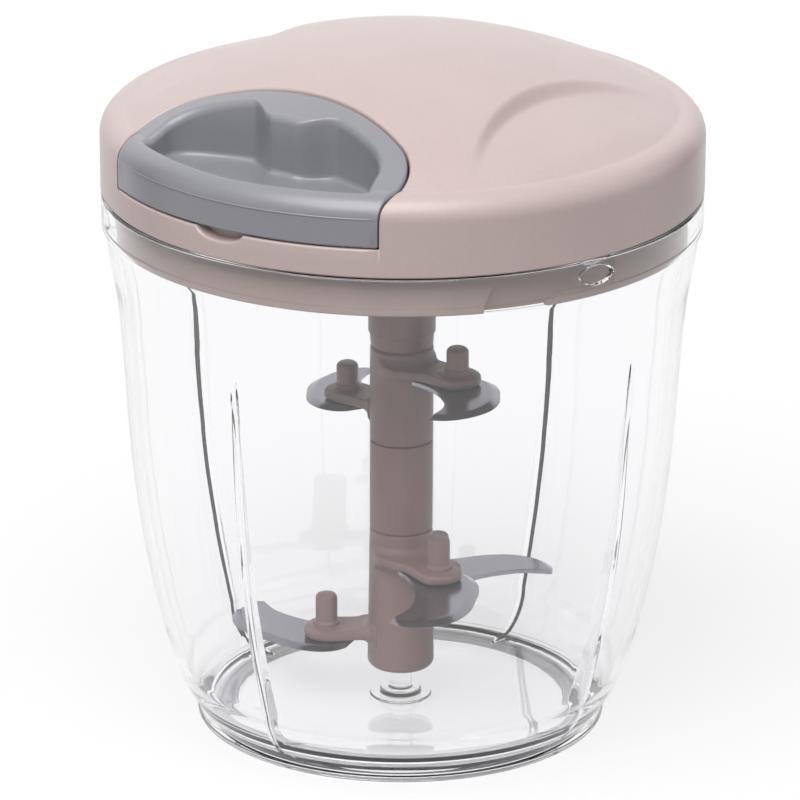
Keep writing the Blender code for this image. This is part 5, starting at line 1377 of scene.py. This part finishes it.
# Edges of a blade on that arm, in millimetres, from its root to its tip
CONVEX_EDGE = ((9.4, 8.2), (10.4, 10.0), (12.8, 11.8), (16.8, 12.6), (21.4, 11.9), (26.0, 10.2),
               (32.3, 7.2), (36.4, 3.4), (38.4, -1.8), (37.3, -7.2), (34.7, -9.8))
CONCAVE_EDGE = ((8.7, -2.4), (11.6, -1.4), (15.0, -1.0), (19.0, -1.2), (23.0, -1.9), (26.8, -3.2),
                (30.4, -5.2), (32.8, -7.6), (34.7, -9.8))
TRIM_FROM, TRIM_OVER = 16.0, 22.0       # a shorter blade is drawn in from here, over this length
EDGE_LAND = 0.02 * MM                   # width of the blunt land at the cutting edge
# The ground edge behind it: shares of its width and of the blade's thickness
GROUND_EDGE = ((0.35, 0.42), (0.7, 0.8), (0.92, 0.97), (1.0, 1.0), (1.06, 1.0))
EDGE_SHARE = 0.6                        # the ground edge takes at most this share of the width
TIP_WIDTH, TIP_SHARE = 3.0 * MM, 0.06   # where narrower the blade is thinner too, to this share
BACK_BEVEL = 0.1 * MM                   # along the concave edge
HUB_BORE = 3.0 * MM             # bore for the bowl's pin
BORE_DEPTH = 6.0 * MM
FILLET_UNDER, FILLET_OVER = 1.8 * MM, 1.4 * MM      # height of the fillets at an arm's root
ROOT_UNDER, ROOT_OVER = 1.9 * MM, 1.5 * MM          # how far they reach out along the arm
CLEAR_UNDER, CLEAR_OVER = 2.2 * MM, 1.6 * MM        # the hub is plain from here on
ARM_ROUND = 0.7 * MM            # round along an arm's edge
HUB_EDGE = 0.3 * MM             # bevel round a hub's top
SOCKET_DEPTH = 16.3 * MM        # hexagon bore of the drive socket
CLIP_GROOVE = (108.6 * MM, 109.8 * MM)
CLIP_DEPTH = 0.8 * MM
RATCHET = 3.4 * MM              # thickness of the ratchet wheel
RATCHET_TEETH = 10
TOOTH_FOOT, TOOTH_DEPTH = 8.9 * MM, 1.7 * MM
SLEEVE_BORE = 5.0 * MM
RIVET_RADIUS = 1.3 * MM         # neck of a peg, through the blade and the arm


def hexagon(angles, half):
    """Radius of a hexagon with flats at a distance from the axis, in each direction."""
    return half / np.cos((angles + math.pi / 6.0) % (math.pi / 3.0) - math.pi / 6.0)


def make_socket(size):
    """The drive socket, as rings from the end of its hexagon bore down, out, and up its neck
    with the clip's groove to the ratchet wheel, whose radius is a saw-tooth of the angle."""
    angles = even_angles(144)
    base, top = low("drive_socket").z, high("drive_socket").z
    neck, groove = size.socket_radius, size.socket_radius - CLIP_DEPTH
    bore = hexagon(angles, size.core / 2.0 + GAP)
    step = 360.0 / RATCHET_TEETH
    tooth = (np.degrees(angles) % step) / step
    teeth = TOOTH_FOOT + TOOTH_DEPTH * np.interp(tooth, [0.0, 0.5, 0.96, 1.0], [0.0, 0.5, 1.0, 0.0])
    side = rounded_profile([
        (neck - 1.5 * MM, base, 0.0), (neck - 0.5 * MM, base, 0.3 * MM),
        (neck - 0.3 * MM, base + 2.6 * MM, 0.3 * MM), (neck, base + 2.9 * MM, 0.2 * MM),
        (neck, CLIP_GROOVE[0], 0.0), (groove, CLIP_GROOVE[0], 0.0),
        (groove, CLIP_GROOVE[1], 0.0), (neck, CLIP_GROOVE[1], 0.0), (neck, top - RATCHET, 0.0)], 4)
    rows = [(0.0, base + SOCKET_DEPTH), (bore, base + SOCKET_DEPTH), (bore, base), *side,
            (teeth, top - RATCHET), (teeth, top), (0.0, top)]
    rings = np.array([ring(angles, radius, height) for radius, height in rows])
    return merged_mesh("drive_socket_form", [(revolved(rings, angles), True, False)])


def make_sleeve(size):
    """The spacer: a plain tube with small rounds at its ends, turned about Z."""
    base, top = low("stem_spacer").z, high("stem_spacer").z
    half = (base + top) / 2.0
    profile = rounded_profile([
        (SLEEVE_BORE, half, 0.0), (SLEEVE_BORE, base, 0.2 * MM), (size.radius, base, 0.3 * MM),
        (size.radius, top, 0.3 * MM), (SLEEVE_BORE, top, 0.2 * MM), (SLEEVE_BORE, half, 0.0)], 4)
    return merged_mesh("stem_spacer_form", [(revolved(profile, even_angles(144)), True, True)])


def arm_reach(degrees, bearing_of_arm, radius):
    """Reach of a swept arm from the stem's axis in each direction, from its outline's corners
    as a smooth curve over the bearing; beyond its flanks it is the stem's own radius."""
    bearing = np.degrees(np.arctan2(ARM_OUTLINE[:, 1], ARM_OUTLINE[:, 0]))
    off = (degrees - bearing_of_arm + 180.0) % 360.0 - 180.0
    inside = (off > bearing[0]) & (off < bearing[-1])
    found = spline(bearing, np.hypot(*ARM_OUTLINE.T), np.clip(off, bearing[0], bearing[-1]))
    return np.where(inside, np.maximum(found, radius), radius), inside


def arm_rows(size, degrees, bearing_of_arm, arm_low, stem):
    """Rings of one arm, as (radius, height) pairs: out along its underside, round its edge and
    back along its top, with a fillet at the root and a round boss at the peg."""
    arm_top = arm_low + size.arm
    reach, inside = arm_reach(degrees, bearing_of_arm, stem(arm_low))
    spread = reach - stem(arm_low)
    rim = np.minimum(ARM_ROUND, spread * 0.3)
    rows = []
    for part in np.linspace(0.0, 1.0, 12):
        out = stem(arm_low) + (spread - rim) * part
        root = np.clip(1.0 - (out - stem(arm_low)) / ROOT_UNDER, 0.0, 1.0) ** 2
        rows.append((out, arm_low - FILLET_UNDER * np.where(inside, root, part == 0.0)))
    for turn in np.radians(np.linspace(-75.0, 75.0, 7)):
        level = (arm_low + arm_top) / 2.0 + (size.arm / 2.0 - rim) * np.sign(turn)
        rows.append((reach - rim + rim * math.cos(turn), level + rim * math.sin(turn)))
    local = np.radians(degrees - bearing_of_arm)
    for part in np.linspace(1.0, 0.0, 18):
        out = stem(arm_top) + (spread - rim) * part
        root = np.clip(1.0 - (out - stem(arm_top)) / ROOT_OVER, 0.0, 1.0) ** 2
        away = np.hypot(out * np.cos(local) - PEG_PLACE[0], out * np.sin(local) - PEG_PLACE[1])
        boss = size.boss_rise * (1.0 - smooth((away - size.boss_radius) / (0.5 * MM)))
        rise = np.where(inside, FILLET_OVER * root + boss, FILLET_OVER * (part == 0.0))
        rows.append((out, arm_top + rise))
    return rows


def make_hub(size, node, arms, tops, foot_radius):
    """A hub with its arms, as rings round the stem's axis from the end of its bore down, out
    round its foot and up its slightly tapered side, past each arm from the lowest up."""
    base, top = low(node).z, high(node).z
    angles = even_angles(720)
    degrees = np.degrees(angles)

    def stem(z):
        return foot_radius + (size.radius - foot_radius) * (z - base) / (top - base)

    if node == "lower_hub":
        bore, bevel, round_foot = HUB_BORE, 0.4 * MM, 1.6 * MM
    else:
        bore, bevel, round_foot = hexagon(angles, size.core / 2.0), 0.2 * MM, 0.3 * MM
    bore_top = base + BORE_DEPTH
    rows = [(0.0, bore_top), (bore, bore_top), (bore, base + bevel), (bore + bevel, base)]
    rows += [(foot_radius - round_foot * across, base + round_foot * down)
             for across, down in quarter_round(6)[::-1]]
    last = base + round_foot
    for index in np.argsort(tops):
        arm_low = tops[index] - size.arm
        rows += [(stem(z), z) for z in np.linspace(last, arm_low - CLEAR_UNDER, 5)[1:]]
        rows += arm_rows(size, degrees, arms[index], arm_low, stem)
        last = tops[index] + CLEAR_OVER
    rows += [(stem(z), z) for z in np.linspace(last, top - HUB_EDGE, 6)]
    rows += [(size.radius - HUB_EDGE, top), (0.0, top)]
    rings = np.array([ring(angles, radius, height) for radius, height in rows])
    return merged_mesh(node + "_form", [(revolved(rings, angles), True, False)], sharp=38.0)


class CHOPPER_OT_stem(bpy.types.Operator):
    """Add the drive socket, the spacer and both hubs with their arms"""
    bl_idname = "chopper.stem"
    bl_label = "Stem"

    def execute(self, context):
        size = context.scene.chopper_stem
        mauve = finish("satin_abs_mauve")
        add_piece("drive_neck", make_socket(size), mauve, "rotor", ["drive_socket"])
        add_piece("stem_sleeve", make_sleeve(size), mauve, "rotor", ["stem_spacer"])
        for label, foot in (("upper", size.radius), ("lower", size.foot_radius)):
            node, arms = f"{label}_hub", ARMS[label]
            blades = [f"{label}_blade_{index}" for index in range(1, len(arms) + 1)]
            tops = [high(blade).z + GAP + size.arm for blade in blades]
            mesh = make_hub(size, node, arms, tops, foot)
            add_piece(node + "_body", mesh, mauve, "rotor", [node])
        return {"FINISHED"}


def turned_about_axis(points, degrees):
    """Points turned about Z."""
    c, s = math.cos(math.radians(degrees)), math.sin(math.radians(degrees))
    return points @ np.array([(c, s, 0.0), (-s, c, 0.0), (0.0, 0.0, 1.0)])


def curve_through(points, count):
    """Evenly numbered points of a smooth curve through the given ones."""
    knots = np.concatenate([[0.0], np.cumsum(np.hypot(*np.diff(points, axis=0).T))])
    at = np.linspace(0.0, knots[-1], count)
    return np.stack([spline(knots, points[:, 0], at), spline(knots, points[:, 1], at)], axis=-1)


def make_blade(size, node, degrees, trim):
    """A sickle blade: cross-sections from its ground convex edge to its plain concave edge,
    from the root to the tip. The convex edge is ground to a slope on top, and the tip runs out
    to a point."""
    base, top = low(node).z, high(node).z
    convex, concave = np.array(CONVEX_EDGE), np.array(CONCAVE_EDGE)
    for side in (convex, concave):
        side[:, 0] -= trim * np.maximum(side[:, 0] - TRIM_FROM, 0.0) / TRIM_OVER
    out, back = curve_through(convex, 90) * MM, curve_through(concave, 90) * MM
    across = back - out
    wide = np.hypot(*across.T)[:, None]
    across = across / np.maximum(wide, 1e-9)
    ground = np.minimum(size.edge_width, wide * EDGE_SHARE)
    thick = (top - base) * np.clip(wide / TIP_WIDTH, TIP_SHARE, 1.0)
    rows = [(out, base + 0.0 * thick), (out + across * EDGE_LAND, base + thick * 0.07)]
    rows += [(out + across * depth * ground, base + thick * rise) for depth, rise in GROUND_EDGE]
    flat = GROUND_EDGE[-1][0] * ground
    for part in np.linspace(0.1, 1.0, 12):
        reach = flat + (wide - flat - BACK_BEVEL * np.minimum(wide / MM, 1.0)) * part
        rows.append((out + across * reach, base + thick))
    rows += [(back, base + thick * 0.9), (back, base + 0.0 * thick)]
    for part in np.linspace(1.0, 0.0, 10)[1:-1]:
        rows.append((out + across * wide * part, base + 0.0 * thick))
    grid = np.stack([np.hstack(row) for row in rows], axis=1)
    caps = [np.repeat(grid[i].mean(axis=0)[None, None], grid.shape[1], axis=1) for i in (0, -1)]
    grid = turned_about_axis(np.concatenate([caps[0], grid, caps[1]]), degrees)
    return merged_mesh(node + "_form", [(grid, True, False)], sharp=14.0)


def make_peg(size, peg, blade_top):
    """A riveted peg: a foot under the blade, a neck through blade and arm, a collar and a round
    top, turned about the peg's own upright axis."""
    base, top = low(peg).z, high(peg).z
    place = middle_of(peg)
    radius = size.peg_radius
    arm_top = blade_top + GAP + size.arm
    foot_top = blade_top - 1.2 * MM
    profile = rounded_profile([
        (0.0, base, 0.0), (radius, base, 0.5 * MM), (radius, foot_top, 0.1 * MM),
        (RIVET_RADIUS, foot_top, 0.0), (RIVET_RADIUS, arm_top, 0.0),
        (radius + 0.45 * MM, arm_top, 0.2 * MM), (radius + 0.4 * MM, arm_top + 1.0 * MM, 0.4 * MM),
        (radius, arm_top + 1.3 * MM, 0.2 * MM), (radius, top, 1.0 * MM), (0.0, top, 0.0)], 6)
    rings = revolved(profile, even_angles(56)) + (place[0], place[1], 0.0)
    return merged_mesh(peg + "_form", [(rings, True, False)])


class CHOPPER_OT_blades(bpy.types.Operator):
    """Add the five sickle blades and their riveted pegs"""
    bl_idname = "chopper.blades"
    bl_label = "Blades and pegs"

    def execute(self, context):
        size = context.scene.chopper_stem
        steel, mauve = finish("polished_stainless_steel"), finish("satin_abs_mauve")
        for label, arms in ARMS.items():
            trim = size.trim / MM if label == "upper" else 0.0
            for index, degrees in enumerate(arms, 1):
                node, peg = f"{label}_blade_{index}", f"{label}_blade_peg_{index}"
                mesh = make_blade(size, node, degrees, trim)
                add_piece(f"{label}_sickle_{index}", mesh, steel, "rotor", [node])
                mesh = make_peg(size, peg, high(node).z)
                add_piece(f"{label}_rivet_peg_{index}", mesh, mauve, "rotor", [peg])
        return {"FINISHED"}


class CHOPPER_OT_works(bpy.types.Operator):
    """Give the hidden works their finishes: reel, spring, pawls, axle, core, clip and screws"""
    bl_idname = "chopper.works"
    bl_label = "Reel and clutch"

    def execute(self, context):
        finishes = {
            "natural_nylon": ("cord_reel", "spring_cover"),
            "spring_steel": ("return_spring", "pawl_1", "pawl_2", "socket_clip"),
            "polished_stainless_steel": ("reel_axle", "pawl_pin_1", "pawl_pin_2"),
            "satin_abs_mauve": ("stem_core",),
            "zinc_plated_steel": tuple(f"cover_screw_{index}" for index in (1, 2, 3, 4)),
        }
        for name, nodes in finishes.items():
            for node in nodes:
                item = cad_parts[node]
                if not item.material_slots:
                    raise RuntimeError(f"{node} has no material slot")
                for place in item.material_slots:
                    place.material = finish(name)
        return {"FINISHED"}


# Bearings of the dark cards, in degrees from the handle towards +X
FLAGS = {"flag_right": 157.5, "flag_left": 292.5}
BOUNCE = 0.34                   # grey of the floor for light that bounces off it


class CHOPPER_OT_stage(bpy.types.Operator):
    """Add the floor, the soft studio light and the camera at the photograph's angle"""
    bl_idname = "chopper.stage"
    bl_label = "Stage and camera"

    def execute(self, context):
        scene = context.scene
        view, light = scene.chopper_camera, scene.chopper_light
        camera = bpy.data.objects.new("camera", bpy.data.cameras.new("camera"))
        scene.collection.objects.link(camera)
        camera.location = (view.distance * math.sin(view.azimuth),
                           -view.distance * math.cos(view.azimuth), view.height)
        look = Euler((math.pi / 2.0 - view.pitch, 0.0, view.azimuth + view.yaw)).to_matrix()
        camera.rotation_euler = (look @ Euler((0.0, 0.0, view.roll)).to_matrix()).to_euler()
        camera.data.lens = view.lens
        camera.data.clip_start = 0.05
        scene.camera = camera
        scene.view_settings.view_transform = "Standard"
        add_floor(scene, light)
        add_flags(scene, light)
        add_sky(scene, light)
        # One broad lamp above, in front and to the left
        sun = bpy.data.lights.new("overhead_softbox", "SUN")
        lamp = bpy.data.objects.new("overhead_softbox", sun)
        scene.collection.objects.link(lamp)
        lamp.data.energy = light.energy
        lamp.data.angle = light.softness
        lamp.rotation_euler = Euler((light.tilt, 0.0, view.azimuth - light.side))
        return {"FINISHED"}


def seen_directly(tree):
    """1 for rays from the camera and for those mirrored or passed on by a clear surface,
    otherwise 0. Rays that gather light for a matt surface inside the bowl also pass through
    clear plastic, and count as 0."""
    ray = add_node(tree, "ShaderNodeLightPath").outputs
    first = add_node(tree, "ShaderNodeMath", {0: ray["Is Camera Ray"], 1: ray["Is Glossy Ray"]},
                     operation="MAXIMUM")
    passed = add_node(tree, "ShaderNodeMath", {
        0: first.outputs["Value"], 1: ray["Is Transmission Ray"]}, operation="MAXIMUM")
    seen = add_node(tree, "ShaderNodeMath", {0: passed.outputs["Value"], 1: ray["Diffuse Depth"]},
                    operation="SUBTRACT", use_clamp=True)
    return seen.outputs["Value"]


def add_stage_piece(scene, name, mesh, material):
    """Link a mesh of the stage with its material."""
    piece = bpy.data.objects.new(name, mesh)
    scene.collection.objects.link(piece)
    mesh.materials.append(material)
    return piece


def add_floor(scene, light):
    """The studio floor, a wide disc. To the camera and through the bowl it glows a little, as
    paper lit from below does, so that it is nearly white and keeps a pale shadow; light bounces
    off it as off grey paper."""
    material, tree, place = new_material("studio_floor_paper")
    tone = varied(tree, place, scene.chopper_colours.floor, 0.6, 0.004)
    paper = add_node(tree, "ShaderNodeBsdfDiffuse", {"Color": tone})
    glow = add_node(tree, "ShaderNodeEmission", {"Color": tone, "Strength": 1.0})
    lit = add_node(tree, "ShaderNodeMixShader", {
        0: light.floor_glow, 1: paper.outputs["BSDF"], 2: glow.outputs["Emission"]})
    dim = add_node(tree, "ShaderNodeBsdfDiffuse", {"Color": (BOUNCE, BOUNCE, BOUNCE, 1.0)})
    both = add_node(tree, "ShaderNodeMixShader", {
        0: seen_directly(tree), 1: dim.outputs["BSDF"], 2: lit.outputs["Shader"]})
    finish_material(tree, both.outputs["Shader"])
    disc = revolved([(radius, 0.0) for radius in (0.0, 0.2, 0.6, 2.0, 8.0)], even_angles(96))
    mesh = merged_mesh("studio_floor", [(disc, True, False)])
    add_stage_piece(scene, "studio_floor", mesh, material)


def add_flags(scene, light):
    """Dark cards beside the bowl, as a photographer sets up for glass: they are only mirrored
    in it, and so give its edges and ribs their grey outlines. Each is a part of a cylinder
    about the bowl's axis."""
    material, tree, place = new_material("black_flag_cloth")
    cloth = add_node(tree, "ShaderNodeBsdfDiffuse", {
        "Color": varied(tree, place, scene.chopper_colours.flag, 0.2, 0.1)})
    finish_material(tree, cloth.outputs["BSDF"])
    for name, azimuth in FLAGS.items():
        half = math.degrees(light.flag_half)
        across = np.radians(azimuth + HANDLE_BEARING + np.linspace(-1.0, 1.0, 13) * half)
        rows = [(light.flag_distance, rise * light.flag_height + MM) for rise in (0.0, 0.5, 1.0)]
        mesh = merged_mesh(name, [(revolved(rows, across), False, False)])
        flag = add_stage_piece(scene, name, mesh, material)
        flag.visible_camera = False
        flag.visible_shadow = False
        flag.visible_transmission = False


def add_sky(scene, light):
    """The world: white where it is seen, and as light a dome that is brighter overhead than at
    the horizon."""
    world = bpy.data.worlds.new("studio")
    scene.world = world
    world.use_nodes = True
    tree = world.node_tree
    tree.nodes.clear()
    direction = add_node(tree, "ShaderNodeTexCoord").outputs["Generated"]
    height = add_node(tree, "ShaderNodeSeparateXYZ", {"Vector": direction}).outputs["Z"]
    strength = add_node(tree, "ShaderNodeMapRange", {
        "Value": height, "From Min": 0.0, "From Max": 1.0,
        "To Min": light.horizon, "To Max": light.zenith})
    dome = add_node(tree, "ShaderNodeBackground", {
        "Color": (1.0, 0.995, 0.99, 1.0), "Strength": strength.outputs["Result"]})
    white = add_node(tree, "ShaderNodeBackground", {"Color": (1.0, 1.0, 1.0, 1.0), "Strength": 1.0})
    both = add_node(tree, "ShaderNodeMixShader", {
        0: seen_directly(tree), 1: dome.outputs["Background"], 2: white.outputs["Background"]})
    add_node(tree, "ShaderNodeOutputWorld", {"Surface": both.outputs["Shader"]})


class CHOPPER_PT_panel(bpy.types.Panel):
    """Sizes and colours of the chopper, and a button for each group of pieces"""
    bl_idname = "CHOPPER_PT_panel"
    bl_label = "Food chopper"
    bl_space_type = "VIEW_3D"
    bl_region_type = "UI"
    bl_category = "Chopper"

    def draw(self, context):
        for group in GROUPS:
            settings = getattr(context.scene, group)
            box = self.layout.box()
            for name in settings.__annotations__:
                box.prop(settings, name)
        for operator in OPERATORS:
            self.layout.operator(operator.bl_idname)


OPERATORS = (
    CHOPPER_OT_stage, CHOPPER_OT_bowl, CHOPPER_OT_ring, CHOPPER_OT_cover, CHOPPER_OT_base,
    CHOPPER_OT_seal, CHOPPER_OT_handle, CHOPPER_OT_cord, CHOPPER_OT_stem, CHOPPER_OT_blades,
    CHOPPER_OT_works)


def register():
    """Register the classes, and give the scene its groups of settings."""
    for item in (*GROUPS.values(), *OPERATORS, CHOPPER_PT_panel):
        bpy.utils.register_class(item)
    for name, group in GROUPS.items():
        setattr(bpy.types.Scene, name, bpy.props.PointerProperty(type=group))


def unregister():
    """Take the settings and the classes away again."""
    for name in GROUPS:
        delattr(bpy.types.Scene, name)
    for item in (CHOPPER_PT_panel, *OPERATORS, *GROUPS.values()):
        bpy.utils.unregister_class(item)


def main():
    """Add every group of pieces in turn."""
    register()
    for operator in OPERATORS:
        group, name = operator.bl_idname.split(".")
        getattr(getattr(bpy.ops, group), name)()


if __name__ == "__main__":
    main()
